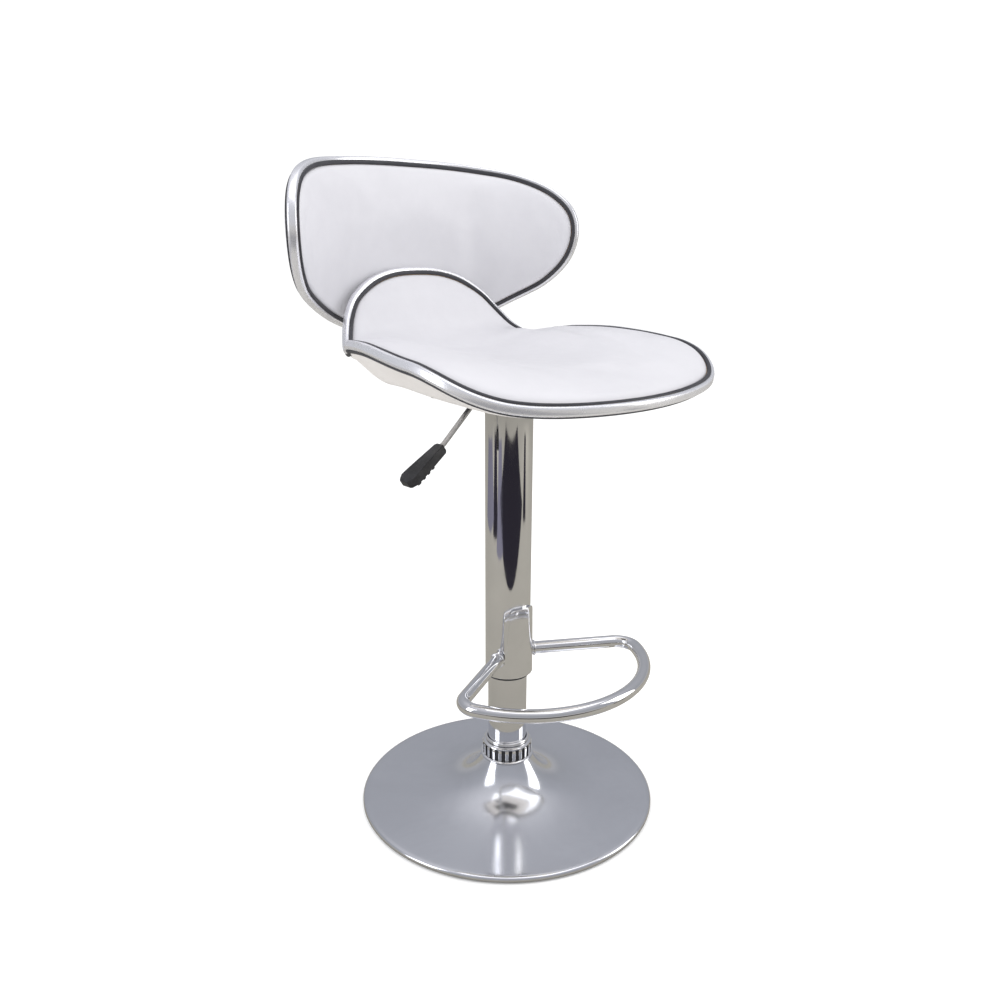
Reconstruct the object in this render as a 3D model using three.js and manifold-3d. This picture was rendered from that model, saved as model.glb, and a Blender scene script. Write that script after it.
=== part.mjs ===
// Adjustable swivel stool: trumpet base, gas-spring column, saddle seat with an upturned tongue,
// wrapped backrest, footrest loop and release lever.
// Millimetres, +Z up. The origin is on the column's axis at the floor; the stool's front faces -Y.
import * as THREE from "three";
import { mergeVertices } from "three/addons/utils/BufferGeometryUtils.js";
import Module from "manifold-3d";

// ---- Driving dimensions ----
const GAP = 0.3; // clearance between pieces that touch on the real stool

const BASE_RADIUS = 192.5;
const BASE_NECK_RADIUS = 33;
const BASE_NECK_RISE = 48; // height of the trumpet above its flat skirt
const BASE_SKIRT_TOP = 8; // height of the skirt beside the rim
const BASE_FLARE = 26; // how quickly the trumpet opens out
const BASE_SHEET = 2;
const BASE_SIDES = 36;

const STAND_RADIUS = 25;
const STAND_TOP = 450;
const STAND_BOTTOM = 10;
const COLUMN_SIDES = 28; // facets of the tubes and of what touches them
const INNER_SIDES = 16; // facets of the small pieces inside
const COVER_RADIUS = 28.5;
const COVER_BOTTOM = 182;
const COVER_WALL = 1.5;
const PLATE_SHEET = 3;
const PLATE_WIDTH = 150;
const PLATE_BOLT_PITCH = 120;

const SEAT_HEIGHT = 547; // middle surface of the seat panel over the column
const PLATE_BOTTOM = SEAT_HEIGHT - 12.8; // underside of the steel seat plate
const SEAT_BEND_START = 71; // behind the axis, where the seat starts to turn up into the tongue
const SEAT_BEND_RADIUS = 112;
const TONGUE_ANGLE = THREE.MathUtils.degToRad(84);
const SEAT_SIDE_LIFT = 46; // rise of the sides over the column, at the reference half width
const SEAT_REAR_LIFT = 34; // further rise towards the rear
const SIDE_LIFT_POWER = 2.2;
const TONGUE_WRAP = 45; // forward wrap of the tongue's sides, at the same half width
const REFERENCE_HALF_WIDTH = 210;

const BACK_OFFSET = 201; // middle surface of the backrest behind the axis
const BACK_WRAP = 85; // how far the backrest's ends come forward
const BACK_WRAP_HALF_WIDTH = 203;
const BACK_WRAP_POWER = 3.3;
const BACK_LEAN = 0.03; // forward lean per millimetre of height
const BACK_LEAN_FROM = 640;

const SHELL_HALF = 3.8; // half thickness of the plywood shells
const TRIM_DEPTH = 5; // depth of the edge moulding in from the outline
const TRIM_HALF = 5.2;
const WELT_INSET = 3.9; // outer side of each welt, in from the outline
const WELT_WIDTH = 4.8;
const WELT_CROWN = 2;
const PAD_INSET = 9;
const PAD_FACE = SHELL_HALF + GAP;
const PAD_EDGE = 3.5; // upholstery thickness beside the welt

const FOOT_HEIGHT = 208;
const FOOT_TUBE_RADIUS = 8;
const FOOT_FRONT_RADIUS = 148; // centreline of the front arc
const FOOT_FRONT_CENTRE = 33; // its centre, forward of the axis
const FOOT_BEND_RADIUS = 24;
const FOOT_HALF_WIDTH = 135;
const FOOT_ROOT = [17, 34]; // forward and sideways place where each arm meets the saddle

const LEVER_PIVOT = [-40, PLATE_BOTTOM - 5]; // x and z
const LEVER_ROD_RADIUS = 3;
const LEVER_ELBOW = [-96, 488.5];
const HANDLE_SLOPE = THREE.MathUtils.degToRad(34);
const HANDLE_LENGTH = 62;

// Half outlines of the flat patterns, from the middle of one edge round to the middle of the other.
// Seat: sideways and backwards from the axis along the bent panel. Back: along the wrap and up.
const SEAT_OUTLINE = [
  [0, -205], [98, -191], [160, -168], [192, -130], [200, -66], [191, 0], [178, 50], [166, 92],
  [149, 130], [132, 168], [118, 199], [101, 225], [74, 245], [40, 256.5], [0, 259.5],
];
const BACK_OUTLINE = [
  [0, 588], [90, 599], [162, 628], [206, 651], [235, 682], [244, 716],
  [236, 743], [209, 767], [161, 785.5], [90, 795], [0, 797.5],
];

// ---- Materials ----
const paint = (color, roughness, metalness) =>
  new THREE.MeshStandardMaterial({ color, roughness, metalness });
const CHROME = paint(0xdcdde0, 0.08, 1);
const SATIN_CHROME = paint(0xc9cad3, 0.25, 1);
const STEEL = paint(0x9a9b9d, 0.35, 1);
const DARK_STEEL = paint(0x4a4b4d, 0.5, 1);
const LEATHER = paint(0xe4e3ea, 0.5, 0);
const UNDER_LEATHER = paint(0xd2cac4, 0.55, 0);
const WELT = paint(0x33333a, 0.5, 0);
const PLYWOOD = paint(0xb8935f, 0.7, 0);
const BLACK_PLASTIC = paint(0x1c1d20, 0.45, 0);
const RUBBER = paint(0x202022, 0.8, 0);

// ---- Solids ----
const wasm = await Module();
wasm.setup();

function toSolid(geometry) {
  const bare = geometry.index ? geometry.toNonIndexed() : geometry.clone();
  for (const name of Object.keys(bare.attributes)) {
    if (name !== "position") bare.deleteAttribute(name);
  }
  const merged = mergeVertices(bare, 1e-3);
  return new wasm.Manifold(
    new wasm.Mesh({
      numProp: 3,
      vertProperties: new Float32Array(merged.attributes.position.array),
      triVerts: new Uint32Array(merged.index.array),
    }),
  );
}

function toGeometry(solid) {
  const mesh = solid.getMesh();
  return new THREE.BufferGeometry()
    .setAttribute("position", new THREE.BufferAttribute(mesh.vertProperties, 3))
    .setIndex(new THREE.BufferAttribute(mesh.triVerts, 1));
}

const join = (first, ...others) =>
  toGeometry(others.reduce((solid, g) => solid.add(toSolid(g)), toSolid(first)));
const cut = (first, ...tools) =>
  toGeometry(tools.reduce((solid, g) => solid.subtract(toSolid(g)), toSolid(first)));

// A turned piece about Z. The [radius, height] profile runs anticlockwise and closes on itself.
function turned(profile, segments = COLUMN_SIDES) {
  const points = [...profile, profile[0]].map(([r, z]) => new THREE.Vector2(r, z));
  return new THREE.LatheGeometry(points, segments).rotateX(Math.PI / 2);
}

const ring = (inner, outer, bottom, top, segments) =>
  turned([[inner, bottom], [outer, bottom], [outer, top], [inner, top]], segments);

// A turned piece whose profile starts and ends on the axis.
function turnedSolid(profile, segments = INNER_SIDES) {
  const points = [[0, profile[0][1]], ...profile, [0, profile.at(-1)[1]]];
  const vectors = points.map(([r, z]) => new THREE.Vector2(r, z));
  return new THREE.LatheGeometry(vectors, segments).rotateX(Math.PI / 2);
}

const box = (x0, x1, y0, y1, z0, z1) =>
  new THREE.BoxGeometry(x1 - x0, y1 - y0, z1 - z0)
    .translate((x0 + x1) / 2, (y0 + y1) / 2, (z0 + z1) / 2);

const rod = (radius, from, to, sides = 8) => {
  const start = new THREE.Vector3(...from);
  const along = new THREE.Vector3(...to).sub(start);
  const turn = new THREE.Quaternion()
    .setFromUnitVectors(new THREE.Vector3(0, 1, 0), along.clone().normalize());
  return new THREE.CylinderGeometry(radius, radius, along.length(), sides)
    .applyQuaternion(turn)
    .translate(...start.addScaledVector(along, 0.5));
};

const stool = new THREE.Group();

function piece(name, geometry, material) {
  const mesh = new THREE.Mesh(geometry, material);
  mesh.name = name;
  stool.add(mesh);
  return mesh;
}

// ---- Bent panels ----
const ramp = (value, from, to) => THREE.MathUtils.smoothstep((value - from) / (to - from), 0, 1);

// Middle surface of the seat: flat over the column, turned up behind, sides lifted towards the viewer
// of its upper face. a runs sideways, b backwards along the panel.
function seatMiddle(a, b) {
  const arc = Math.max(0, Math.min((b - SEAT_BEND_START) / SEAT_BEND_RADIUS, TONGUE_ANGLE));
  const flat = Math.min(b, SEAT_BEND_START);
  const upright = Math.max(0, b - SEAT_BEND_START - TONGUE_ANGLE * SEAT_BEND_RADIUS);
  const y = flat + SEAT_BEND_RADIUS * Math.sin(arc) + upright * Math.cos(arc);
  const z = SEAT_HEIGHT + SEAT_BEND_RADIUS * (1 - Math.cos(arc)) + upright * Math.sin(arc);
  const side = Math.abs(a) / REFERENCE_HALF_WIDTH;
  const rise = SEAT_SIDE_LIFT * ramp(b, -235, -80) + SEAT_REAR_LIFT * ramp(b, -110, 110);
  const sideLift = rise * (1 - ramp(b, 95, 195)) * side ** SIDE_LIFT_POWER;
  const wrap = TONGUE_WRAP * ramp(b, 120, 195) * side ** 2;
  const lift = sideLift + wrap;
  return new THREE.Vector3(a, y - lift * Math.sin(arc), z + lift * Math.cos(arc));
}

// Middle surface of the backrest. a runs along the wrap, b is the height.
class WrapCurve extends THREE.Curve {
  getPoint(t) {
    const x = t * 245;
    return new THREE.Vector3(x, BACK_WRAP * (x / BACK_WRAP_HALF_WIDTH) ** BACK_WRAP_POWER, 0);
  }
}
const wrapCurve = new WrapCurve();
const WRAP_LENGTH = wrapCurve.getLength();

function backMiddle(a, b) {
  const { x, y } = wrapCurve.getPointAt(Math.min(Math.abs(a) / WRAP_LENGTH, 1));
  const lean = BACK_LEAN * (b - BACK_LEAN_FROM);
  return new THREE.Vector3(Math.sign(a) * x, BACK_OFFSET - y - lean, b);
}

// Returns a function that places a point of the flat pattern, offset off the middle surface.
function bender(middle) {
  const step = 0.5;
  return (a, b, offset) => {
    const alongA = middle(a + step, b).sub(middle(a - step, b));
    const alongB = middle(a, b + step).sub(middle(a, b - step));
    return middle(a, b).addScaledVector(alongA.cross(alongB).normalize(), offset);
  };
}

// Points round a smooth closed outline, each with its outward direction in the flat pattern.
function rimOf(halfOutline, count) {
  const mirrored = halfOutline.slice(1, -1).reverse().map(([a, b]) => [-a, b]);
  const points = [...halfOutline, ...mirrored].map(([a, b]) => new THREE.Vector3(a, b, 0));
  const curve = new THREE.CatmullRomCurve3(points, true, "centripetal");
  return Array.from({ length: count }, (_, i) => {
    const at = curve.getPointAt(i / count);
    const tangent = curve.getTangentAt(i / count);
    return { a: at.x, b: at.y, outA: tangent.y, outB: -tangent.x };
  });
}

// Joins rings of points, first to last. A ring of one point closes an end; without end points the
// last ring joins the first and the piece is a closed loop. From the ring numbered turnAt onwards the
// squares are split along their other diagonal, so that two layers face each other facet by facet.
function loft(rings, turnAt = rings.length) {
  const vertices = rings.flat();
  const starts = [];
  let total = 0;
  for (const points of rings) {
    starts.push(total);
    total += points.length;
  }
  const faces = [];
  const pairs = rings.length - (rings[0].length === 1 ? 1 : 0);
  for (let i = 0; i < pairs; i++) {
    const j = (i + 1) % rings.length;
    const count = Math.max(rings[i].length, rings[j].length);
    for (let k = 0; k < count; k++) {
      const next = (k + 1) % count;
      const [p, q] = [starts[i] + k, starts[i] + next];
      const [r, s] = [starts[j] + k, starts[j] + next];
      if (rings[i].length === 1) faces.push(starts[i], r, s);
      else if (rings[j].length === 1) faces.push(p, starts[j], q);
      else if (i >= turnAt) faces.push(p, r, q, q, r, s);
      else faces.push(p, r, s, p, s, q);
    }
  }
  const geometry = new THREE.BufferGeometry();
  geometry.setFromPoints(vertices);
  geometry.setIndex(faces);
  return geometry;
}

// A loop of constant section that follows the rim. The section's [outward, offset] points run
// clockwise, seen with outward to the right.
function rimLoop(rim, bend, section) {
  return loft(section.map(([out, offset]) =>
    rim.map(({ a, b, outA, outB }) => bend(a + out * outA, b + out * outB, offset))));
}

// A layer of a panel, between an upper and a lower face. Each face is a function of how far out
// towards the pads' edge a point is, 0 to 1, and of its place in the pattern. A shell reaches past
// the pads' edge, to its own inset.
const FACE_RINGS = [0.5, 0.74, 0.9, 0.96, 1].map((fraction) => ({ fraction, inset: PAD_INSET }));
const SHELL_RINGS = [...FACE_RINGS, { fraction: 1, inset: TRIM_DEPTH + 2 * GAP }];
function layer(rim, bend, centreB, rings, upper, lower) {
  const ringAt = ({ fraction, inset }, face) => rim.map(({ a, b, outA, outB }) => {
    const x = (a - inset * outA) * fraction;
    const y = centreB + (b - inset * outB - centreB) * fraction;
    return bend(x, y, face(fraction, x, y));
  });
  const centre = (face) => [bend(0, centreB, face(0, 0, centreB))];
  const faces = [
    centre(upper),
    ...rings.map((each) => ringAt(each, upper)),
    ...rings.toReversed().map((each) => ringAt(each, lower)),
    centre(lower),
  ];
  return loft(faces, rings.length);
}

const TRIM_SECTION = [
  [-TRIM_DEPTH, TRIM_HALF], [-2, TRIM_HALF], [0, 3],
  [0, -3], [-2, -TRIM_HALF], [-TRIM_DEPTH, -TRIM_HALF],
];

// A half-round welt that lies on the moulding and the shell, on the upper side or the lower one.
function weltSection(side) {
  const middle = -WELT_INSET - WELT_WIDTH / 2;
  const steps = 4;
  return Array.from({ length: steps + 1 }, (_, i) => {
    const angle = (i * Math.PI) / steps;
    const out = middle - (side * Math.cos(angle) * WELT_WIDTH) / 2;
    return [out, side * (TRIM_HALF + GAP + Math.sin(angle) * WELT_CROWN)];
  });
}

const seatRim = rimOf(SEAT_OUTLINE, 44);
const backRim = rimOf(BACK_OUTLINE, 38);
const seatBend = bender(seatMiddle);
const backBend = bender(backMiddle);
const SEAT_CENTRE = 10;
const BACK_CENTRE = 700;
const flatFace = (offset) => () => offset;

// Upholstery thickness over the panels: crowned pads, thinner on the tongue.
const crown = (fraction) => 1 - fraction ** 7;
const seatTop = (fraction, a, b) =>
  PAD_FACE + PAD_EDGE + crown(fraction) * (20 - 10 * ramp(b, 100, 190));
const underBulge = (fraction) => ramp(fraction, 0.5, 0.72) * (1 - ramp(fraction, 0.76, 1));
const seatUnder = (fraction, a, b) =>
  -PAD_FACE - 3.6 - 12 * underBulge(fraction) * ramp(b, -190, -120) * (1 - ramp(b, 70, 130));
function backFront(fraction, a, b) {
  const dish = 1 - ramp(Math.hypot(a / 125, (b - 590) / 105), 0.95, 1.35);
  const full = PAD_EDGE + 9 * crown(fraction);
  return PAD_FACE + full + (3 - full) * dish;
}
const backRear = (fraction) => -PAD_FACE - PAD_EDGE - 8 * crown(fraction);

// ---- Bolt places ----
const half = PLATE_BOLT_PITCH / 2;
const PLATE_BOLTS = [[-half, -half], [half, -half], [half, half], [-half, half]];
const BOLT_RADIUS = 4;
const PLATE_BOLT_TOP = SEAT_HEIGHT + 5;
const BACK_BOLTS = [[-36, 618, 171], [36, 618, 171], [-36, 644, 179], [36, 644, 179]]; // x, z, tip y
const BACK_HEAD_FACE = BACK_OFFSET + SHELL_HALF + 1;
const boltHole = ([x, y], radius) => rod(radius, [x, y, PLATE_BOTTOM - 20], [x, y, PLATE_BOLT_TOP + 1]);
const backHole = ([x, z, tip], radius) => rod(radius, [x, 260, z], [x, tip - 1, z]);

function makeSeat() {
  const shell = layer(seatRim, seatBend, SEAT_CENTRE, SHELL_RINGS,
    flatFace(SHELL_HALF), flatFace(-SHELL_HALF));
  const plateHoles = (radius) => PLATE_BOLTS.map((at) => boltHole(at, radius));
  const backHoles = (radius) => BACK_BOLTS.map((at) => backHole(at, radius));
  piece("seat_shell", cut(shell, ...plateHoles(4.7), ...backHoles(4.7)), PLYWOOD);
  piece("seat_top_pad",
    layer(seatRim, seatBend, SEAT_CENTRE, FACE_RINGS, seatTop, flatFace(PAD_FACE)), LEATHER);
  const under = layer(seatRim, seatBend, SEAT_CENTRE, FACE_RINGS, flatFace(-PAD_FACE), seatUnder);
  piece("seat_bottom_pad", cut(under, ...plateHoles(5), ...backHoles(5)), UNDER_LEATHER);
  piece("seat_trim", rimLoop(seatRim, seatBend, TRIM_SECTION), SATIN_CHROME);
  piece("seat_top_welt", rimLoop(seatRim, seatBend, weltSection(1)), WELT);
  piece("seat_bottom_welt", rimLoop(seatRim, seatBend, weltSection(-1)), WELT);
}

function makeBack() {
  const shell = layer(backRim, backBend, BACK_CENTRE, SHELL_RINGS,
    flatFace(SHELL_HALF), flatFace(-SHELL_HALF));
  const holes = (radius) => BACK_BOLTS.map((at) => backHole(at, radius));
  piece("back_shell", cut(shell, ...holes(4.7)), PLYWOOD);
  const front = layer(backRim, backBend, BACK_CENTRE, FACE_RINGS, backFront, flatFace(PAD_FACE));
  piece("back_front_pad", cut(front, ...holes(5)), LEATHER);
  const rear = layer(backRim, backBend, BACK_CENTRE, FACE_RINGS, flatFace(-PAD_FACE), backRear);
  piece("back_rear_pad", cut(rear, ...holes(10)), LEATHER);
  piece("back_trim", rimLoop(backRim, backBend, TRIM_SECTION), SATIN_CHROME);
  piece("back_front_welt", rimLoop(backRim, backBend, weltSection(1)), WELT);
  piece("back_rear_welt", rimLoop(backRim, backBend, weltSection(-1)), WELT);
  BACK_BOLTS.forEach(([x, z, tip], i) => {
    const head = rod(7.5, [x, BACK_HEAD_FACE, z], [x, BACK_HEAD_FACE + 5, z], 10);
    const shank = rod(BOLT_RADIUS, [x, BACK_HEAD_FACE + 1, z], [x, tip, z], 8);
    piece(`back_bolt_${i + 1}`, join(head, shank), STEEL);
  });
}

// ---- Base ----
const trumpet = (r) =>
  BASE_SKIRT_TOP + 3 * (1 - r / BASE_RADIUS) +
  BASE_NECK_RISE * Math.exp(-(r - BASE_NECK_RADIUS) / BASE_FLARE);

function makeBase() {
  const outer = [];
  const inner = [];
  const steps = 7;
  const skirt = BASE_RADIUS - 6.5;
  for (let i = steps; i >= 0; i--) {
    const r = BASE_NECK_RADIUS + (skirt - BASE_NECK_RADIUS) * (i / steps) ** 1.8;
    const slope = (trumpet(r + 0.1) - trumpet(r - 0.1)) / 0.2;
    const steep = Math.hypot(1, slope);
    outer.push([r, trumpet(r)]);
    inner.unshift([r + (BASE_SHEET * slope) / steep, trumpet(r) - BASE_SHEET / steep]);
  }
  const rim = [
    [BASE_RADIUS - 2.9, 1.2], [BASE_RADIUS - 0.9, 1.2], [BASE_RADIUS, 3.4],
    [BASE_RADIUS, 5.4], [BASE_RADIUS - 2, 7.6],
  ];
  piece("base_shell", turned([...rim, ...outer, ...inner, [BASE_RADIUS - 2.9, 5.4]], BASE_SIDES), CHROME);
  piece("floor_ring", ring(BASE_RADIUS - 18, BASE_RADIUS - 3.5, 0, 5, BASE_SIDES), RUBBER);
  piece("bottom_cover", turnedSolid([[BASE_RADIUS - 20, 0], [BASE_RADIUS - 20, 1.6]], BASE_SIDES), BLACK_PLASTIC);
  piece("ballast_disc", ring(31, 150, 2, 6.2, BASE_SIDES), DARK_STEEL);
  piece("base_socket",
    turned([[25.3, 6.6], [60, 6.6], [60, 9.6], [29.5, 9.6], [29.5, 54], [25.3, 54]]), STEEL);
  piece("base_collar",
    turned([
      [30.3, 58], [34.7, 60], [34.7, 62], [31.6, 63.4], [31.6, 78.6], [30.4, 80.6], [27.6, 81.6],
      [26.6, 81.6], [26.6, 64], [28, 62],
    ]), CHROME);
  piece("collar_bead", turned([[25.4, 82], [28.2, 82.5], [28.8, 84.5], [28.2, 86.5], [25.4, 87]]), CHROME);
}

function makeStand() {
  piece("stand_tube", ring(STAND_RADIUS - 2, STAND_RADIUS, STAND_BOTTOM, STAND_TOP), CHROME);
  piece("guide_bush",
    turned([[14.5, 380], [22.7, 380], [22.7, 450.3], [24.8, 450.3], [24.8, 452], [14.5, 452]]),
    BLACK_PLASTIC);
  piece("rod_end_plate", ring(5.8, 22.7, STAND_BOTTOM + 0.2, STAND_BOTTOM + 4.2), STEEL);
  piece("bearing_race_lower", ring(6, 14, 14.5, 16, INNER_SIDES), STEEL);
  piece("bearing_race_upper", ring(7, 14, 19.8, 21.6, INNER_SIDES), STEEL);
  const cage = ring(7.4, 13.4, 16.8, 19, INNER_SIDES);
  const ballRing = 10.4;
  const balls = Array.from({ length: 8 }, (_, i) => {
    const angle = (i * Math.PI) / 4;
    return new THREE.IcosahedronGeometry(1.65, 0)
      .translate(ballRing * Math.cos(angle), ballRing * Math.sin(angle), 17.9);
  });
  piece("bearing_balls", join(cage, ...balls), STEEL);
  piece("rod_clip", ring(5.4, 8.5, 8, 9.4, INNER_SIDES), STEEL);
}

function makeGasSpring() {
  piece("piston_rod",
    turnedSolid([[5, 5], [5, 21.9], [7, 21.9], [7, 28], [5, 28], [5, 361.6]]), STEEL);
  piece("piston_head", turned([[5.3, 356], [11.5, 356], [11.5, 361.6], [5.3, 361.6]], INNER_SIDES), BLACK_PLASTIC);
  piece("gas_cylinder",
    turned([
      [7, 130], [14, 130], [14, 494], [13.4, 518], [3.4, 518], [3.4, 480], [12, 480], [12, 132], [7, 132],
    ], INNER_SIDES), DARK_STEEL);
  piece("rod_seal", ring(5.4, 11.6, 132.4, 140, INNER_SIDES), RUBBER);
  piece("release_pin", turnedSolid([[3, 485], [3, LEVER_PIVOT[1] - LEVER_ROD_RADIUS - GAP]]), STEEL);
}

function makeCover() {
  const tube = ring(COVER_RADIUS - COVER_WALL, COVER_RADIUS, COVER_BOTTOM, PLATE_BOTTOM - GAP);
  const leverSlot = box(-COVER_RADIUS - 2, -COVER_RADIUS + 4, -5, 5, 518, PLATE_BOTTOM + 5);
  piece("cover_tube", cut(tube, leverSlot), CHROME);
  piece("cover_bush",
    turned([
      [25.4, COVER_BOTTOM - 1.2], [26.9, COVER_BOTTOM - 1.2], [26.7, COVER_BOTTOM + 40],
      [25.4, COVER_BOTTOM + 40],
    ]), BLACK_PLASTIC);
}

function makeSeatPlate() {
  const reach = PLATE_WIDTH / 2;
  const sheet = box(-reach, reach, -reach, reach, PLATE_BOTTOM, PLATE_BOTTOM + PLATE_SHEET);
  const socket = turned([
    [14.4, 494], [26.4, 494], [26.4, PLATE_BOTTOM + 1], [20, PLATE_BOTTOM + 1], [20, 518.5], [14.4, 518.5],
  ]);
  const leverSlot = box(-30, -10, -5, 5, 520, PLATE_BOTTOM);
  const [pivotX, pivotZ] = LEVER_PIVOT;
  const ears = [-1, 1].map((side) =>
    box(pivotX - 7, pivotX + 7, side * 7.5 - 1.5, side * 7.5 + 1.5, pivotZ - 7, PLATE_BOTTOM + 1));
  const pinHole = rod(2.9, [pivotX, -20, pivotZ], [pivotX, 20, pivotZ]);
  const holes = PLATE_BOLTS.map((at) => boltHole(at, 4.7));
  piece("seat_plate", cut(join(cut(socket, leverSlot), sheet, ...ears), pinHole, ...holes), STEEL);
  PLATE_BOLTS.forEach(([x, y], i) => {
    const head = rod(7.5, [x, y, PLATE_BOTTOM - 5.5], [x, y, PLATE_BOTTOM - GAP], 6);
    const shank = rod(BOLT_RADIUS, [x, y, PLATE_BOTTOM - 2], [x, y, PLATE_BOLT_TOP], 8);
    piece(`seat_bolt_${i + 1}`, join(head, shank), STEEL);
  });
  piece("lever_pivot_pin", rod(2.4, [pivotX, -10.5, pivotZ], [pivotX, 10.5, pivotZ]), STEEL);
}

// ---- Footrest ----
// The loop's centreline in plan, as [forward, sideways]: arm, tight bend, front arc, bend, arm.
function footrestPath() {
  const bendReach = FOOT_FRONT_RADIUS - FOOT_BEND_RADIUS;
  const turn = Math.asin((FOOT_HALF_WIDTH - FOOT_BEND_RADIUS) / bendReach);
  const bendU = FOOT_FRONT_CENTRE + bendReach * Math.cos(turn);
  const bendV = bendReach * Math.sin(turn);
  const [rootU, rootV] = FOOT_ROOT;
  const towards = Math.atan2(bendV - rootV, bendU - rootU);
  const away = Math.hypot(bendU - rootU, bendV - rootV);
  const armAngle = towards + Math.asin(FOOT_BEND_RADIUS / away);
  const path = new THREE.Path();
  path.moveTo(rootU, -rootV);
  const armTurn = armAngle + Math.PI / 2;
  path.lineTo(
    bendU + FOOT_BEND_RADIUS * Math.cos(armTurn), -bendV - FOOT_BEND_RADIUS * Math.sin(armTurn));
  path.absarc(bendU, -bendV, FOOT_BEND_RADIUS, -armTurn, -turn, false);
  path.absarc(FOOT_FRONT_CENTRE, 0, FOOT_FRONT_RADIUS, -turn, turn, false);
  path.absarc(bendU, bendV, FOOT_BEND_RADIUS, turn, armTurn, false);
  path.lineTo(rootU, rootV);
  return path;
}

class FlatCurve extends THREE.Curve {
  constructor(path, height) {
    super();
    this.path = path;
    this.height = height;
  }
  getPoint(t) {
    const at = this.path.getPointAt(t);
    return new THREE.Vector3(at.y, -at.x, this.height);
  }
}

function disc(radius, sides) {
  const shape = new THREE.Shape();
  for (let i = 0; i < sides; i++) {
    const angle = (2 * Math.PI * i) / sides;
    const [x, y] = [radius * Math.cos(angle), radius * Math.sin(angle)];
    if (i) shape.lineTo(x, y);
    else shape.moveTo(x, y);
  }
  shape.closePath();
  return shape;
}

function makeFootrest() {
  const extrudePath = new FlatCurve(footrestPath(), FOOT_HEIGHT);
  const loop = new THREE.ExtrudeGeometry(disc(FOOT_TUBE_RADIUS, 8), { steps: 48, extrudePath });
  const clear = rod(COVER_RADIUS + 3.6, [0, 0, 150], [0, 0, 300], COLUMN_SIDES);
  piece("footrest_loop", cut(loop, clear), CHROME);
  const band = ring(COVER_RADIUS + GAP, COVER_RADIUS + 3.3, COVER_BOTTOM, 275);
  const outline = new THREE.Shape();
  outline.moveTo(-60, COVER_BOTTOM - 1);
  outline.lineTo(-24, COVER_BOTTOM + 20);
  outline.quadraticCurveTo(-20, 232, -19, 258);
  outline.absarc(0, 256, 19, Math.PI, 0, true);
  outline.quadraticCurveTo(20, 232, 24, COVER_BOTTOM + 20);
  outline.lineTo(60, COVER_BOTTOM - 1);
  const front = new THREE.ExtrudeGeometry(outline, { depth: 60, bevelEnabled: false, curveSegments: 8 })
    .rotateX(Math.PI / 2);
  piece("footrest_saddle", toGeometry(toSolid(band).intersect(toSolid(front))), CHROME);
}

// ---- Lever ----
function makeLever() {
  const [pivotX, pivotZ] = LEVER_PIVOT;
  const [elbowX, elbowZ] = LEVER_ELBOW;
  const along = new THREE.Vector3(-Math.cos(HANDLE_SLOPE), 0, -Math.sin(HANDLE_SLOPE));
  const at = (distance) => new THREE.Vector3(elbowX, 0, elbowZ).addScaledVector(along, distance);
  const bendStart = new THREE.Vector3(-47, 0, pivotZ);
  const bendCorner = new THREE.Vector3(-53, 0, pivotZ);
  const slope = new THREE.Vector3(elbowX + 53, 0, elbowZ - pivotZ).normalize();
  const path = new THREE.CurvePath();
  path.add(new THREE.LineCurve3(new THREE.Vector3(2.6, 0, pivotZ), bendStart));
  const bendEnd = bendCorner.clone().addScaledVector(slope, 6);
  path.add(new THREE.QuadraticBezierCurve3(bendStart, bendCorner, bendEnd));
  const elbowStart = at(0).addScaledVector(slope, -5);
  path.add(new THREE.LineCurve3(bendEnd, elbowStart));
  path.add(new THREE.QuadraticBezierCurve3(elbowStart, at(0), at(5)));
  path.add(new THREE.LineCurve3(at(5), at(30)));
  const bar = new THREE.ExtrudeGeometry(disc(LEVER_ROD_RADIUS, 6), { steps: 26, extrudePath: path });
  const eye = rod(4.6, [pivotX, -5.6, pivotZ], [pivotX, 5.6, pivotZ]);
  const eyeHole = rod(2.9, [pivotX, -8, pivotZ], [pivotX, 8, pivotZ]);
  piece("lever_rod", cut(join(bar, eye), eyeHole), STEEL);

  const paddle = new THREE.Shape();
  paddle.moveTo(0, -7);
  paddle.lineTo(HANDLE_LENGTH - 8, -12);
  paddle.quadraticCurveTo(HANDLE_LENGTH, -12, HANDLE_LENGTH, 0);
  paddle.quadraticCurveTo(HANDLE_LENGTH, 12, HANDLE_LENGTH - 8, 12);
  paddle.lineTo(0, 7);
  paddle.closePath();
  const grip = new THREE.ExtrudeGeometry(paddle, { depth: 12, bevelEnabled: false, curveSegments: 5 })
    .translate(0, 0, -4)
    .rotateY(Math.PI - HANDLE_SLOPE)
    .translate(...at(4));
  const bore = rod(LEVER_ROD_RADIUS + 0.4, at(-2).toArray(), at(31).toArray());
  piece("lever_handle", cut(grip, bore), BLACK_PLASTIC);
}

makeBase();
makeStand();
makeGasSpring();
makeCover();
makeSeatPlate();
makeFootrest();
makeSeat();
makeBack();
makeLever();

export default stool;
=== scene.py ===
import math

import bpy
import numpy as np
from mathutils import Matrix, Vector


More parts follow.
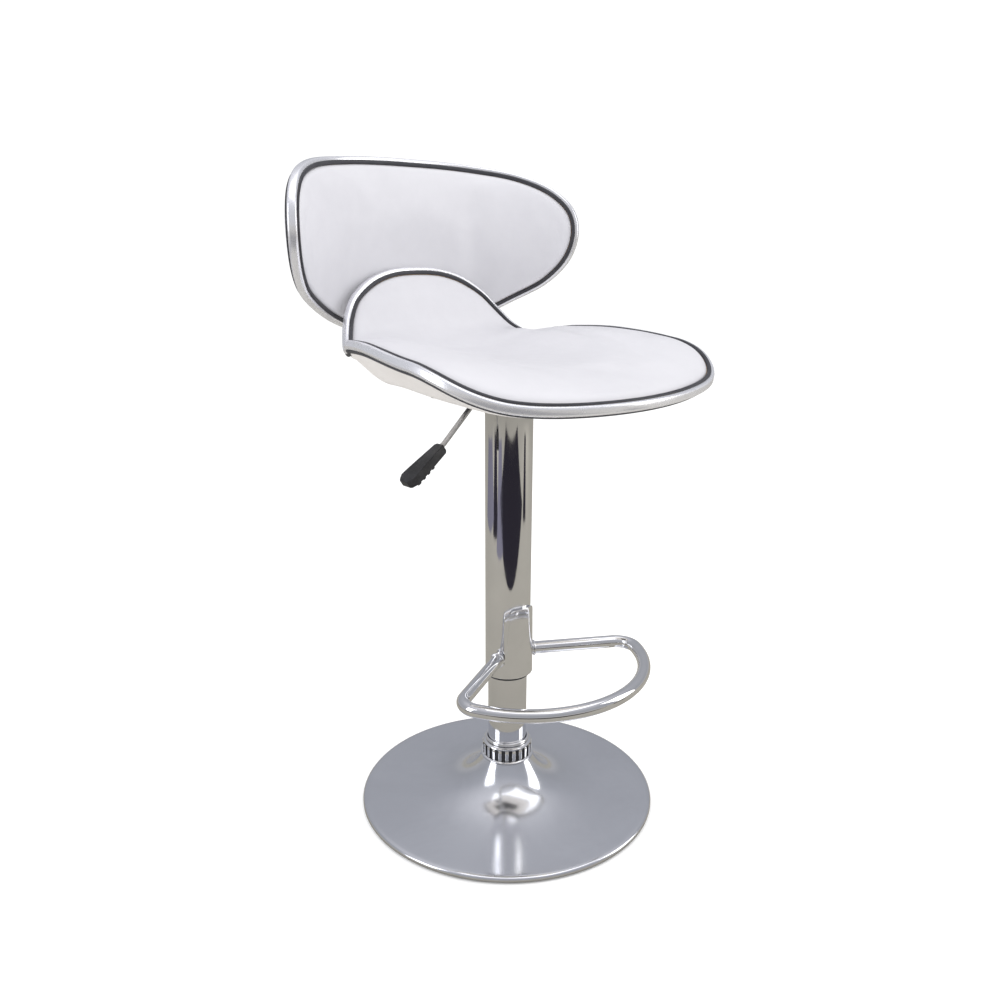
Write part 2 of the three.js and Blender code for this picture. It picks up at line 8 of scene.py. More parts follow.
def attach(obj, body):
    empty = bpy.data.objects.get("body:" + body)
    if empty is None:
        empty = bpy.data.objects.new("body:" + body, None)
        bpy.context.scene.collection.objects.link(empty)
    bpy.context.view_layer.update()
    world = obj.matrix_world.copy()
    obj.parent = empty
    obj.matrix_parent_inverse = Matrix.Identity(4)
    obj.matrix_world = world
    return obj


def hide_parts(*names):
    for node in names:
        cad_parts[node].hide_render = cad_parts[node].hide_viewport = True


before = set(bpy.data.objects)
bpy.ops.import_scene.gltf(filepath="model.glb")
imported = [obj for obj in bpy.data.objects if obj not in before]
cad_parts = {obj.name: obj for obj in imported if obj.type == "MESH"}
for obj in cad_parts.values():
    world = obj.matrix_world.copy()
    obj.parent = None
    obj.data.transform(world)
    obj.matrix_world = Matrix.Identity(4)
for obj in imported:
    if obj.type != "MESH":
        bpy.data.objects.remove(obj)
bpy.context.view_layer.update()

MM = 0.001

# ---- Dimensions in millimetres, as the frame has them ----
BASE_RADIUS = 192.5
NECK_RADIUS = 33
NECK_RISE = 48
SKIRT_TOP = 8
FLARE = 26
SHEET = 2

STAND_RADIUS = 25
STAND_BOTTOM = 10
STAND_TOP = 450
COVER_RADIUS = 28.5
COVER_WALL = 1.5
COVER_BOTTOM = 182
SEAT_HEIGHT = 547
PLATE_BOTTOM = SEAT_HEIGHT - 12.8

SEAT_BEND_START = 71
SEAT_BEND_RADIUS = 112
TONGUE_ANGLE = math.radians(84)
SEAT_SIDE_LIFT = 46
SEAT_REAR_LIFT = 34
SIDE_LIFT_POWER = 2.2
TONGUE_WRAP = 45
REFERENCE_HALF_WIDTH = 210
SEAT_CENTRE = 10
BACK_CENTRE = 700

BACK_OFFSET = 201
BACK_WRAP = 85
BACK_WRAP_HALF_WIDTH = 203
BACK_WRAP_POWER = 3.3
BACK_WRAP_REACH = 245
BACK_LEAN = 0.03
BACK_LEAN_FROM = 640

PAD_FACE = 4.1
PAD_EDGE = 3.5
PAD_INSET = 8.6
SEAT_CROWN = 22.5
UNDER_EDGE = 3.4
UNDER_BELLY = 12
BACK_FRONT_CROWN = 9
BACK_REAR_CROWN = 8
DISH_HEIGHT = 3
SHELL_HALF = 3.8
TRIM_DEPTH = 5
TRIM_HALF = 5.2
WELT_INSET = 3.9
WELT_WIDTH = 4.8
WELT_CROWN = 2
WELT_GAP = 0.3

FOOT_HEIGHT = 208
FOOT_TUBE_RADIUS = 8
FOOT_FRONT_RADIUS = 148
FOOT_FRONT_CENTRE = 33
FOOT_BEND_RADIUS = 24
FOOT_HALF_WIDTH = 135
FOOT_ROOT = (17, 34)

COLLAR_TEETH = 22
SADDLE_FOOT_TOP = COVER_BOTTOM + 20
SADDLE_CORNER = 7
SADDLE_ROUND_FROM = 275 - SADDLE_CORNER
SADDLE_TONGUE = 19
SADDLE_SHOULDER = 24

LEVER_PIVOT = (-40, PLATE_BOTTOM - 5)
LEVER_ROD_RADIUS = 3
LEVER_ELBOW = (-96, 488.5)
HANDLE_SLOPE = math.radians(34)

TURNED_SIDES = 128
RIM_STATIONS = 320
PAD_STEPS = 34
SMOOTH_ANGLE = math.radians(35)

SEAT_OUTLINE = [
    (0, -205), (98, -191), (160, -168), (192, -130), (200, -66), (191, 0), (178, 50), (166, 92),
    (149, 130), (132, 168), (118, 199), (101, 225), (74, 245), (40, 256.5), (0, 259.5),
]
BACK_OUTLINE = [
    (0, 588), (90, 599), (162, 628), (206, 651), (235, 682), (244, 716),
    (236, 743), (209, 767), (161, 785.5), (90, 795), (0, 797.5),
]
PLATE_BOLTS = [(-60, -60), (60, -60), (60, 60), (-60, 60)]
BACK_BOLTS = [(-36, 618), (36, 618), (-36, 644), (36, 644)]


# ---- Camera, floor and light ----
CAMERA_SIDE = Vector((-0.656, -0.755, 0))
CAMERA_LEFT = Vector((-0.755, 0.656, 0))


def set_camera():
    data = bpy.data.cameras.new("camera")
    data.sensor_width = 36
    data.lens = 32.318
    data.shift_y = 0.06075
    data.clip_start = 0.05
    camera = bpy.data.objects.new("camera", data)
    camera.location = (-0.68886, -0.79245, 0.69305)
    camera.rotation_euler = (math.radians(70.881), math.radians(-0.185), math.radians(-40.381))
    bpy.context.scene.collection.objects.link(camera)
    bpy.context.scene.camera = camera


def plain_material(name, colour, roughness):
    material = bpy.data.materials.new(name)
    material.use_nodes = True
    shader = material.node_tree.nodes["Principled BSDF"]
    shader.inputs["Base Color"].default_value = (*colour, 1)
    shader.inputs["Roughness"].default_value = roughness
    shader.inputs["Specular IOR Level"].default_value = 0
    return material


def floor_material():
    """Pale paper that polished metal mirrors darker and warmer than the eye sees it: a painted reflection
    colour that only glossy rays see.
    """
    material = plain_material("pale_floor", (0.95, 0.95, 0.95), 0.8)
    tree = material.node_tree
    paper = tree.nodes["Principled BSDF"]
    paper.inputs["Emission Color"].default_value = (1, 1, 1, 1)
    paper.inputs["Emission Strength"].default_value = 0.1
    # Painted reflection: the darker, warmer floor colour seen only in polished metal.
    painted_reflection = tree.nodes.new("ShaderNodeBsdfDiffuse")
    painted_reflection.inputs["Color"].default_value = (0.33, 0.315, 0.28, 1)
    path = tree.nodes.new("ShaderNodeLightPath")
    mix = tree.nodes.new("ShaderNodeMixShader")
    tree.links.new(path.outputs["Is Glossy Ray"], mix.inputs[0])
    tree.links.new(paper.outputs[0], mix.inputs[1])
    tree.links.new(painted_reflection.outputs[0], mix.inputs[2])
    tree.links.new(mix.outputs[0], tree.nodes["Material Output"].inputs["Surface"])
    return material


def card(name, size, centre, turn, material):
    deselect()
    bpy.ops.mesh.primitive_plane_add(size=1, location=centre, rotation=turn)
    sheet = bpy.context.object
    sheet.name = name
    sheet.scale = (*size, 1)
    sheet.data.materials.append(material)
    return sheet


def floor_flag(name, bearing, near, size, colour):
    """A dark sheet on the floor that only polished metal sees, a painted reflection of a darker room. Its
    bearing is leftwards of the camera.
    """
    turn = math.radians(bearing)
    towards = CAMERA_SIDE * math.cos(turn) + CAMERA_LEFT * math.sin(turn)
    sheet = card(name, size, towards * (near + size[1] / 2) + Vector((0, 0, 0.004)),
                 (0, 0, math.atan2(towards.y, towards.x) + math.pi / 2), plain_material(name, colour, 0.9))
    for sight in ("visible_camera", "visible_diffuse", "visible_shadow", "visible_transmission"):
        setattr(sheet, sight, False)


def set_stage():
    card("floor", (40, 40), (0, 0, -0.0005), (0, 0, 0), floor_material())
    # Black and lavender sheets that only the chrome mirrors: painted reflections of a darker room.
    black = (0.02, 0.018, 0.025)
    lavender = (0.16, 0.155, 0.2)
    floor_flag("flag_main", -12, 0.8, (2.5, 1.6), black)
    floor_flag("flag_left", 66, 1.15, (0.56, 1.4), black)
    floor_flag("flag_right", -82, 1.3, (0.4, 1.2), black)
    floor_flag("flag_mauve_near", 42, 1.0, (0.62, 1.4), lavender)
    floor_flag("flag_mauve_far", 100, 1.2, (1.2, 1.2), lavender)


def soft_light(name, size, place, target, power, colour):
    data = bpy.data.lights.new(name, "AREA")
    data.shape = "RECTANGLE"
    data.size, data.size_y = size
    data.energy = power
    data.color = colour
    lamp = bpy.data.objects.new(name, data)
    lamp.location = place
    lamp.rotation_euler = (Vector(target) - Vector(place)).to_track_quat("-Z", "Y").to_euler()
    bpy.context.scene.collection.objects.link(lamp)


def set_light():
    soft_light("overhead", (2.4, 2.4), (0.2, -0.3, 2.8), (0, 0, 0.4), 16, (1, 1, 1))
    soft_light("left_box", (1.1, 1.9), (-2.3, 0.5, 1.3), (0, 0, 0.5), 15, (0.95, 0.96, 1))
    soft_light("right_box", (1.1, 1.9), (1.9, -1.5, 1.3), (0, 0, 0.5), 15, (1, 0.99, 0.97))
    world = bpy.data.worlds.new("studio")
    bpy.context.scene.world = world
    world.use_nodes = True
    tree = world.node_tree
    tree.nodes.clear()
    out = tree.nodes.new("ShaderNodeOutputWorld")
    shown = tree.nodes.new("ShaderNodeBackground")
    shown.inputs["Color"].default_value = (1, 1, 1, 1)
    shown.inputs["Strength"].default_value = 1.08
    room = tree.nodes.new("ShaderNodeBackground")
    path = tree.nodes.new("ShaderNodeLightPath")
    mix = tree.nodes.new("ShaderNodeMixShader")
    where = tree.nodes.new("ShaderNodeTexCoord")
    split = tree.nodes.new("ShaderNodeSeparateXYZ")
    ramp_node = tree.nodes.new("ShaderNodeValToRGB")
    stops = [(0.0, (0.50, 0.49, 0.48)), (0.5, (0.46, 0.46, 0.48)), (0.62, (0.36, 0.37, 0.40)),
             (0.8, (0.42, 0.43, 0.47)), (1.0, (0.75, 0.75, 0.8))]
    while len(ramp_node.color_ramp.elements) < len(stops):
        ramp_node.color_ramp.elements.new(0.5)
    for element, (place, colour) in zip(ramp_node.color_ramp.elements, stops):
        element.position = place
        element.color = (*colour, 1)
    level = tree.nodes.new("ShaderNodeMapRange")
    level.inputs["From Min"].default_value = -1
    tree.links.new(where.outputs["Generated"], split.inputs[0])
    tree.links.new(split.outputs["Z"], level.inputs["Value"])
    tree.links.new(level.outputs[0], ramp_node.inputs[0])
    tree.links.new(ramp_node.outputs[0], room.inputs["Color"])
    plain = math_node(tree, "MAXIMUM", path.outputs["Is Camera Ray"], path.outputs["Is Diffuse Ray"])
    tree.links.new(plain, mix.inputs[0])
    tree.links.new(room.outputs[0], mix.inputs[1])
    tree.links.new(shown.outputs[0], mix.inputs[2])
    tree.links.new(mix.outputs[0], out.inputs[0])
    bpy.context.scene.view_settings.view_transform = "Standard"


# ---- Node groups ----
def new_group(name, inputs, outputs):
    group = bpy.data.node_groups.new(name, "ShaderNodeTree")
    for label, value in inputs.items():
        socket = group.interface.new_socket(name=label, in_out="INPUT", socket_type="NodeSocketFloat")
        socket.default_value = value
    for label in outputs:
        group.interface.new_socket(name=label, in_out="OUTPUT", socket_type="NodeSocketFloat")
    return group, group.nodes.new("NodeGroupInput"), group.nodes.new("NodeGroupOutput")


def noise(tree, scale, detail, roughness=0.5, vector=None):
    node = tree.nodes.new("ShaderNodeTexNoise")
    node.inputs["Scale"].default_value = scale
    node.inputs["Detail"].default_value = detail
    node.inputs["Roughness"].default_value = roughness
    if vector:
        tree.links.new(vector, node.inputs["Vector"])
    return node


def object_place(tree):
    return tree.nodes.new("ShaderNodeTexCoord").outputs["Object"]


def math_node(tree, operation, first, second):
    node = tree.nodes.new("ShaderNodeMath")
    node.operation = operation
    for socket, value in zip(node.inputs, (first, second)):
        if isinstance(value, (int, float)):
            socket.default_value = value
        else:
            tree.links.new(value, socket)
    return node.outputs[0]


def span(tree, value, low, high, from_low=0.0, from_high=1.0):
    node = tree.nodes.new("ShaderNodeMapRange")
    tree.links.new(value, node.inputs["Value"])
    node.inputs["From Min"].default_value = from_low
    node.inputs["From Max"].default_value = from_high
    node.inputs["To Min"].default_value = low
    node.inputs["To Max"].default_value = high
    return node.outputs[0]


def make_smudges():
    """Soft uneven patches: hand marks and thin haze."""
    group, given, out = new_group("smudges", {"Scale": 12.0}, ["Mask"])
    texture = noise(group, 12, 6, 0.62, object_place(group))
    group.links.new(given.outputs["Scale"], texture.inputs["Scale"])
    texture.inputs["Distortion"].default_value = 0.7
    group.links.new(span(group, texture.outputs[0], 0, 1, 0.36, 0.68), out.inputs["Mask"])
    return group


def make_settled_dust():
    """Fine specks, more of them on faces that look up."""
    group, given, out = new_group("settled_dust", {"Amount": 0.5}, ["Mask"])
    where = group.nodes.new("ShaderNodeNewGeometry")
    split = group.nodes.new("ShaderNodeSeparateXYZ")
    group.links.new(where.outputs["Normal"], split.inputs[0])
    upward = span(group, split.outputs["Z"], 0, 1, 0.2, 1.0)
    specks = span(group, noise(group, 900, 2, 0.6, object_place(group)).outputs[0], 0, 1, 0.60, 0.72)
    patches = span(group, noise(group, 18, 3, 0.5, object_place(group)).outputs[0], 0, 1, 0.35, 0.75)
    heaped = math_node(group, "MULTIPLY", math_node(group, "MULTIPLY", specks, patches), upward)
    group.links.new(math_node(group, "MULTIPLY", heaped, given.outputs["Amount"]), out.inputs["Mask"])
    return group


def make_hairlines():
    """Very fine polishing lines that run round or along a plated piece."""
    group, given, out = new_group("hairlines", {"Across": 900.0, "Along": 14.0}, ["Height"])
    place = object_place(group)
    mapping = group.nodes.new("ShaderNodeMapping")
    combine = group.nodes.new("ShaderNodeCombineXYZ")
    for axis, label in (("X", "Across"), ("Y", "Across"), ("Z", "Along")):
        group.links.new(given.outputs[label], combine.inputs[axis])
    group.links.new(place, mapping.inputs["Vector"])
    group.links.new(combine.outputs[0], mapping.inputs["Scale"])
    lines = noise(group, 1, 3, 0.6, mapping.outputs[0])
    group.links.new(lines.outputs[0], out.inputs["Height"])
    return group


def make_leather_grain():
    """Pebbled grain of coated fabric, with a slow change of tone under it."""
    group, given, out = new_group("leather_grain", {"Scale": 1050.0}, ["Height", "Tone"])
    place = object_place(group)
    warp = noise(group, 420, 2, 0.5, place)
    shift = group.nodes.new("ShaderNodeVectorMath")
    shift.operation = "SCALE"
    shift.inputs["Scale"].default_value = 0.0011
    group.links.new(warp.outputs["Color"], shift.inputs[0])
    moved = group.nodes.new("ShaderNodeVectorMath")
    group.links.new(place, moved.inputs[0])
    group.links.new(shift.outputs[0], moved.inputs[1])
    pebbles = group.nodes.new("ShaderNodeTexVoronoi")
    pebbles.feature = "SMOOTH_F1"
    pebbles.inputs["Smoothness"].default_value = 0.35
    group.links.new(moved.outputs[0], pebbles.inputs["Vector"])
    group.links.new(given.outputs["Scale"], pebbles.inputs["Scale"])
    fine = noise(group, 2600, 2, 0.6, place)
    height = math_node(group, "MULTIPLY_ADD", fine.outputs[0], 0.25)
    group.links.new(pebbles.outputs["Distance"], height.node.inputs[2])
    group.links.new(height, out.inputs["Height"])
    slow = noise(group, 7, 3, 0.5, place)
    middle = noise(group, 60, 3, 0.55, place)
    tone = math_node(group, "MULTIPLY_ADD", middle.outputs[0], 0.35)
    group.links.new(math_node(group, "MULTIPLY", slow.outputs[0], 0.65), tone.node.inputs[2])
    group.links.new(tone, out.inputs["Tone"])
    return group


def make_moulded_grain():
    """Fine spark-eroded texture of moulded plastic and rubber."""
    group, given, out = new_group("moulded_grain", {"Scale": 1600.0}, ["Height", "Tone"])
    place = object_place(group)
    grain = noise(group, 1600, 3, 0.7, place)
    group.links.new(given.outputs["Scale"], grain.inputs["Scale"])
    group.links.new(grain.outputs[0], out.inputs["Height"])
    group.links.new(noise(group, 40, 4, 0.6, place).outputs[0], out.inputs["Tone"])
    return group


GROUPS = {
    "smudges": make_smudges(),
    "settled_dust": make_settled_dust(),
    "hairlines": make_hairlines(),
    "leather_grain": make_leather_grain(),
    "moulded_grain": make_moulded_grain(),
}


# ---- Materials ----
class Finish:
    """A material being made: its tree, its shader, and short ways to link them."""

    def __init__(self, name, **sockets):
        self.material = bpy.data.materials.new(name)
        self.material.use_nodes = True
        self.tree = self.material.node_tree
        self.shader = self.tree.nodes["Principled BSDF"]
        for label, value in sockets.items():
            self.shader.inputs[label.replace("_", " ")].default_value = value

    def effect(self, name, **values):
        node = self.tree.nodes.new("ShaderNodeGroup")
        node.node_tree = GROUPS[name]
        for label, value in values.items():
            node.inputs[label].default_value = value
        return node.outputs

    def colour(self, mask, first, second):
        """Mixes a first colour, or a socket that gives one, with a second where the mask is bright."""
        mix = self.tree.nodes.new("ShaderNodeMix")
        mix.data_type = "RGBA"
        self.tree.links.new(mask, mix.inputs["Factor"])
        colour_inputs = [s for s in mix.inputs if s.type == "RGBA"]
        if isinstance(first, tuple):
            colour_inputs[0].default_value = (*first, 1)
        else:
            self.tree.links.new(first, colour_inputs[0])
        colour_inputs[1].default_value = (*second, 1)
        return next(s for s in mix.outputs if s.type == "RGBA")

    def link(self, value, socket):
        self.tree.links.new(value, self.shader.inputs[socket])

    def bump(self, height, distance, strength=1.0):
        node = self.tree.nodes.new("ShaderNodeBump")
        node.inputs["Distance"].default_value = distance
        node.inputs["Strength"].default_value = strength
        self.tree.links.new(height, node.inputs["Height"])
        self.link(node.outputs["Normal"], "Normal")


def plated(name, bright, dull, smooth, rough, haze_scale, across, along):
    """Chrome plate with faint haze, dust and polishing lines."""
    finish = Finish(name, Metallic=1.0)
    haze = finish.effect("smudges", Scale=haze_scale)["Mask"]
    dust = finish.effect("settled_dust", Amount=0.5)["Mask"]
    plate = finish.colour(haze, bright, dull)
    finish.link(finish.colour(dust, plate, (0.55, 0.54, 0.52)), "Base Color")
    roughness = span(finish.tree, haze, smooth, rough)
    dulled = math_node(finish.tree, "MULTIPLY", dust, 0.2)
    finish.link(math_node(finish.tree, "ADD", roughness, dulled), "Roughness")
    finish.bump(finish.effect("hairlines", Across=across, Along=along)["Height"], 0.00001, 0.25)
    return finish.material


def leatherette(name, light, dark):
    finish = Finish(name, Specular_IOR_Level=0.42)
    grain = finish.effect("leather_grain")
    tone = span(finish.tree, grain["Tone"], 0, 1, 0.35, 0.65)
    coat = finish.colour(tone, light, dark)
    dust = finish.effect("settled_dust", Amount=0.12)["Mask"]
    finish.link(finish.colour(dust, coat, (0.45, 0.44, 0.43)), "Base Color")
    finish.link(span(finish.tree, finish.effect("smudges", Scale=16.0)["Mask"], 0.40, 0.52), "Roughness")
    finish.bump(grain["Height"], 0.00012, 0.55)
    return finish.material


def piping(name, dark, light):
    finish = Finish(name, Specular_IOR_Level=0.4)
    grain = finish.effect("leather_grain", Scale=1500.0)
    tone = span(finish.tree, grain["Tone"], 0, 1, 0.35, 0.65)
    finish.link(finish.colour(tone, dark, light), "Base Color")
    finish.link(span(finish.tree, finish.effect("smudges", Scale=40.0)["Mask"], 0.42, 0.6), "Roughness")
    finish.bump(grain["Height"], 0.0001, 0.5)
    return finish.material


def moulded(name, dark, light, smooth, rough, depth):
    """Black plastic or rubber, greyed a little where hands and floors rub it."""
    finish = Finish(name, Specular_IOR_Level=0.5)
    grain = finish.effect("moulded_grain")
    rubbed = finish.colour(span(finish.tree, grain["Tone"], 0, 1, 0.4, 0.68), dark, light)
    dust = finish.effect("settled_dust", Amount=0.5)["Mask"]
    finish.link(finish.colour(dust, rubbed, (0.3, 0.29, 0.28)), "Base Color")
    finish.link(span(finish.tree, finish.effect("smudges", Scale=45.0)["Mask"], smooth, rough), "Roughness")
    finish.bump(grain["Height"], depth, 0.6)
    return finish.material


def bare_steel(name, light, dark, smooth, rough):
    """Zinc-plated or machined steel with tool marks and dull patches."""
    finish = Finish(name, Metallic=1.0)
    stain = finish.effect("smudges", Scale=30.0)["Mask"]
    finish.link(finish.colour(stain, light, dark), "Base Color")
    finish.link(span(finish.tree, finish.effect("smudges", Scale=70.0)["Mask"], smooth, rough), "Roughness")
    finish.bump(finish.effect("hairlines", Across=1500.0, Along=60.0)["Height"], 0.00003, 0.4)
    return finish.material


def plywood(name):
    """Beech plywood: long grain lines and paler and darker plies."""
    finish = Finish(name)
    lines = finish.effect("hairlines", Across=420.0, Along=420.0)["Height"]
    grain = finish.tree.nodes.new("ShaderNodeTexWave")
    grain.inputs["Scale"].default_value = 60
    grain.inputs["Distortion"].default_value = 9
    grain.inputs["Detail"].default_value = 3
    finish.tree.links.new(object_place(finish.tree), grain.inputs["Vector"])
    wood = finish.colour(grain.outputs["Fac"], (0.58, 0.40, 0.22), (0.44, 0.28, 0.14))
    streaks = span(finish.tree, lines, 0, 1, 0.5, 0.8)
    finish.link(finish.colour(streaks, wood, (0.34, 0.2, 0.1)), "Base Color")
    finish.link(span(finish.tree, lines, 0.6, 0.8), "Roughness")
    finish.bump(lines, 0.0001, 0.5)
    return finish.material


BASE_CHROME = plated("base_chrome", (0.80, 0.81, 0.84), (0.74, 0.75, 0.78), 0.12, 0.2, 9.0, 40.0, 40.0)
TUBE_CHROME = plated("tube_chrome", (0.86, 0.86, 0.87), (0.80, 0.80, 0.81), 0.03, 0.08, 14.0, 300.0, 8.0)
TRIM_CHROME = plated("trim_chrome", (0.94, 0.94, 0.97), (0.88, 0.88, 0.92), 0.22, 0.30, 20.0, 60.0, 60.0)
TRIM_CHROME.node_tree.nodes["Principled BSDF"].inputs["Metallic"].default_value = 0.74
PLAIN_STEEL = bare_steel("zinc_steel", (0.66, 0.66, 0.66), (0.5, 0.5, 0.5), 0.26, 0.42)
CAST_STEEL = bare_steel("pressed_steel", (0.32, 0.32, 0.33), (0.22, 0.21, 0.2), 0.45, 0.65)
BLACK_PAINT = moulded("black_paint", (0.012, 0.012, 0.013), (0.035, 0.035, 0.037), 0.3, 0.45, 0.00003)
BLACK_PLASTIC = moulded("black_plastic", (0.012, 0.012, 0.014), (0.028, 0.028, 0.032), 0.4, 0.55, 0.00005)
RUBBER = moulded("rubber", (0.014, 0.014, 0.014), (0.04, 0.04, 0.04), 0.6, 0.8, 0.00008)
PLYWOOD = plywood("beech_plywood")
LEATHER = leatherette("white_leatherette", (0.655, 0.65, 0.685), (0.62, 0.615, 0.65))
# A lighter, warmer copy of the white leatherette for the seat's underside: painted warm bounce light on the
# same cover.
UNDER_LEATHER_BOUNCE_LIT = leatherette("underside_leatherette_bounce_lit", (0.69, 0.66, 0.635), (0.65, 0.62, 0.595))
WELT = piping("charcoal_welt", (0.028, 0.028, 0.034), (0.05, 0.05, 0.058))


# ---- Modelling by operators ----
def deselect():
    if bpy.context.object and bpy.context.object.mode != "OBJECT":
        bpy.ops.object.mode_set(mode="OBJECT")
    bpy.ops.object.select_all(action="DESELECT")


def named(name):
    shape = bpy.context.object
    shape.name = name
    shape.data.name = name
    return shape


def pick(shape):
    deselect()
    shape.select_set(True)
    bpy.context.view_layer.objects.active = shape


def edit():
    bpy.ops.object.mode_set(mode="EDIT")
    bpy.ops.mesh.select_all(action="SELECT")


def select_faces(shape, wanted):
    """Leaves edit mode with just the faces that pass the test selected, then returns to it."""
    edit()
    bpy.ops.mesh.select_mode(type="FACE")
    bpy.ops.mesh.select_all(action="DESELECT")
    bpy.ops.object.mode_set(mode="OBJECT")
    for face in shape.data.polygons:
        face.select = wanted(face)
    bpy.ops.object.mode_set(mode="EDIT")


def close_and_smooth():
    """Turns the faces outwards, leaves edit mode and smooths all but the sharp edges."""
    bpy.ops.mesh.select_all(action="SELECT")
    bpy.ops.mesh.remove_doubles(threshold=0.000001)
    bpy.ops.mesh.normals_make_consistent(inside=False)
    bpy.ops.object.mode_set(mode="OBJECT")
    bpy.ops.object.shade_smooth_by_angle(angle=SMOOTH_ANGLE)


def start_circle(name, radius, centre, facing, sides):
    """A circle at its place, all selected in edit mode."""
    deselect()
    turn = Vector((0, 0, 1)).rotation_difference(Vector(facing)).to_euler()
    bpy.ops.mesh.primitive_circle_add(vertices=sides, radius=radius, location=centre, rotation=turn)
    shape = named(name)
    bpy.ops.object.transform_apply(location=True, rotation=True, scale=True)
    edit()
    return shape


def extrude(offset):
    bpy.ops.mesh.extrude_region_move(TRANSFORM_OT_translate={"value": offset})


def turned(name, profile, sides=TURNED_SIDES):
    """A turned piece: a circle extruded and scaled from point to point of its [radius, height] profile."""
    radius, height = profile[0]
    shape = start_circle(name, radius * MM, (0, 0, height * MM), (0, 0, 1), sides)
    for (r0, z0), (r1, z1) in zip(profile, profile[1:]):
        extrude((0, 0, (z1 - z0) * MM))
        bpy.ops.transform.resize(value=(r1 / r0, r1 / r0, 1), center_override=(0, 0, z1 * MM))
    bpy.ops.mesh.select_mode(type="EDGE")
    bpy.ops.mesh.select_all(action="DESELECT")
    bpy.ops.mesh.select_non_manifold()
    bpy.ops.mesh.bridge_edge_loops()
    close_and_smooth()
    return shape


def apply_modifier(shape, kind, **values):
    modifier = shape.modifiers.new(kind.lower(), kind)
    for label, value in values.items():
        setattr(modifier, label, value)
    pick(shape)
    bpy.ops.object.modifier_apply(modifier=modifier.name)


def carve(shape, tool, operation):
    apply_modifier(shape, "BOOLEAN", operation=operation, object=tool, solver="EXACT")
    bpy.data.objects.remove(tool)


def round_edges(shape, width, segments=2):
    apply_modifier(shape, "BEVEL", width=width * MM, segments=segments, limit_method="ANGLE",
                   angle_limit=SMOOTH_ANGLE, use_clamp_overlap=True)
    pick(shape)
    bpy.ops.object.shade_smooth_by_angle(angle=SMOOTH_ANGLE)


def from_points(name, points, faces):
    """A mesh given by its points in millimetres."""
    mesh = bpy.data.meshes.new(name)
    mesh.from_pydata((np.asarray(points) * MM).tolist(), [], faces)
    shape = bpy.data.objects.new(name, mesh)
    bpy.context.scene.collection.objects.link(shape)
    pick(shape)
    return shape


def dress(shape, body, slot, material, *nodes):
    shape.data.materials.clear()
    shape.data.materials.append(material)
    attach(shape, body)
    if nodes:
        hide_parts(*nodes)
    return shape


# ---- Bent panels ----
def ramp(value, low, high):
    t = np.clip((value - low) / (high - low), 0, 1)
    return t * t * (3 - 2 * t)


def seat_middle(a, b):
    """Middle of the seat panel: a sideways and b backwards along it."""
    arc = np.clip((b - SEAT_BEND_START) / SEAT_BEND_RADIUS, 0, TONGUE_ANGLE)
    flat = np.minimum(b, SEAT_BEND_START)
    upright = np.maximum(0, b - SEAT_BEND_START - TONGUE_ANGLE * SEAT_BEND_RADIUS)
    y = flat + SEAT_BEND_RADIUS * np.sin(arc) + upright * np.cos(arc)
    z = SEAT_HEIGHT + SEAT_BEND_RADIUS * (1 - np.cos(arc)) + upright * np.sin(arc)
    side = np.abs(a) / REFERENCE_HALF_WIDTH
    rise = SEAT_SIDE_LIFT * ramp(b, -235, -80) + SEAT_REAR_LIFT * ramp(b, -110, 110)
    side_lift = rise * (1 - ramp(b, 95, 195)) * side ** SIDE_LIFT_POWER
    lift = side_lift + TONGUE_WRAP * ramp(b, 120, 195) * side ** 2
    return np.stack([a, y - lift * np.sin(arc), z + lift * np.cos(arc)], axis=-1)


def wrap_table():
    x = np.linspace(0, BACK_WRAP_REACH, 500)
    y = BACK_WRAP * (x / BACK_WRAP_HALF_WIDTH) ** BACK_WRAP_POWER
    length = np.concatenate([[0], np.cumsum(np.hypot(np.diff(x), np.diff(y)))])
    return length, x, y


WRAP_LENGTH, WRAP_X, WRAP_Y = wrap_table()


def back_middle(a, b):
    """Middle of the backrest panel: a along its wrap and b the height."""
    x = np.interp(np.abs(a), WRAP_LENGTH, WRAP_X)
    y = np.interp(np.abs(a), WRAP_LENGTH, WRAP_Y)
    lean = BACK_LEAN * (b - BACK_LEAN_FROM)
    return np.stack([np.sign(a) * x, BACK_OFFSET - y - lean, b + 0 * x], axis=-1)


def bend(middle, a, b, offset):
    """Places points of the flat pattern on the bent panel, offset off its middle surface."""
    step = 0.5
    a, b = np.asarray(a, float), np.asarray(b, float)
    along_a = middle(a + step, b) - middle(a - step, b)
    along_b = middle(a, b + step) - middle(a, b - step)
    normal = np.cross(along_a, along_b)
    normal /= np.linalg.norm(normal, axis=-1, keepdims=True)
    return middle(a, b) + normal * np.broadcast_to(offset, a.shape)[..., None]


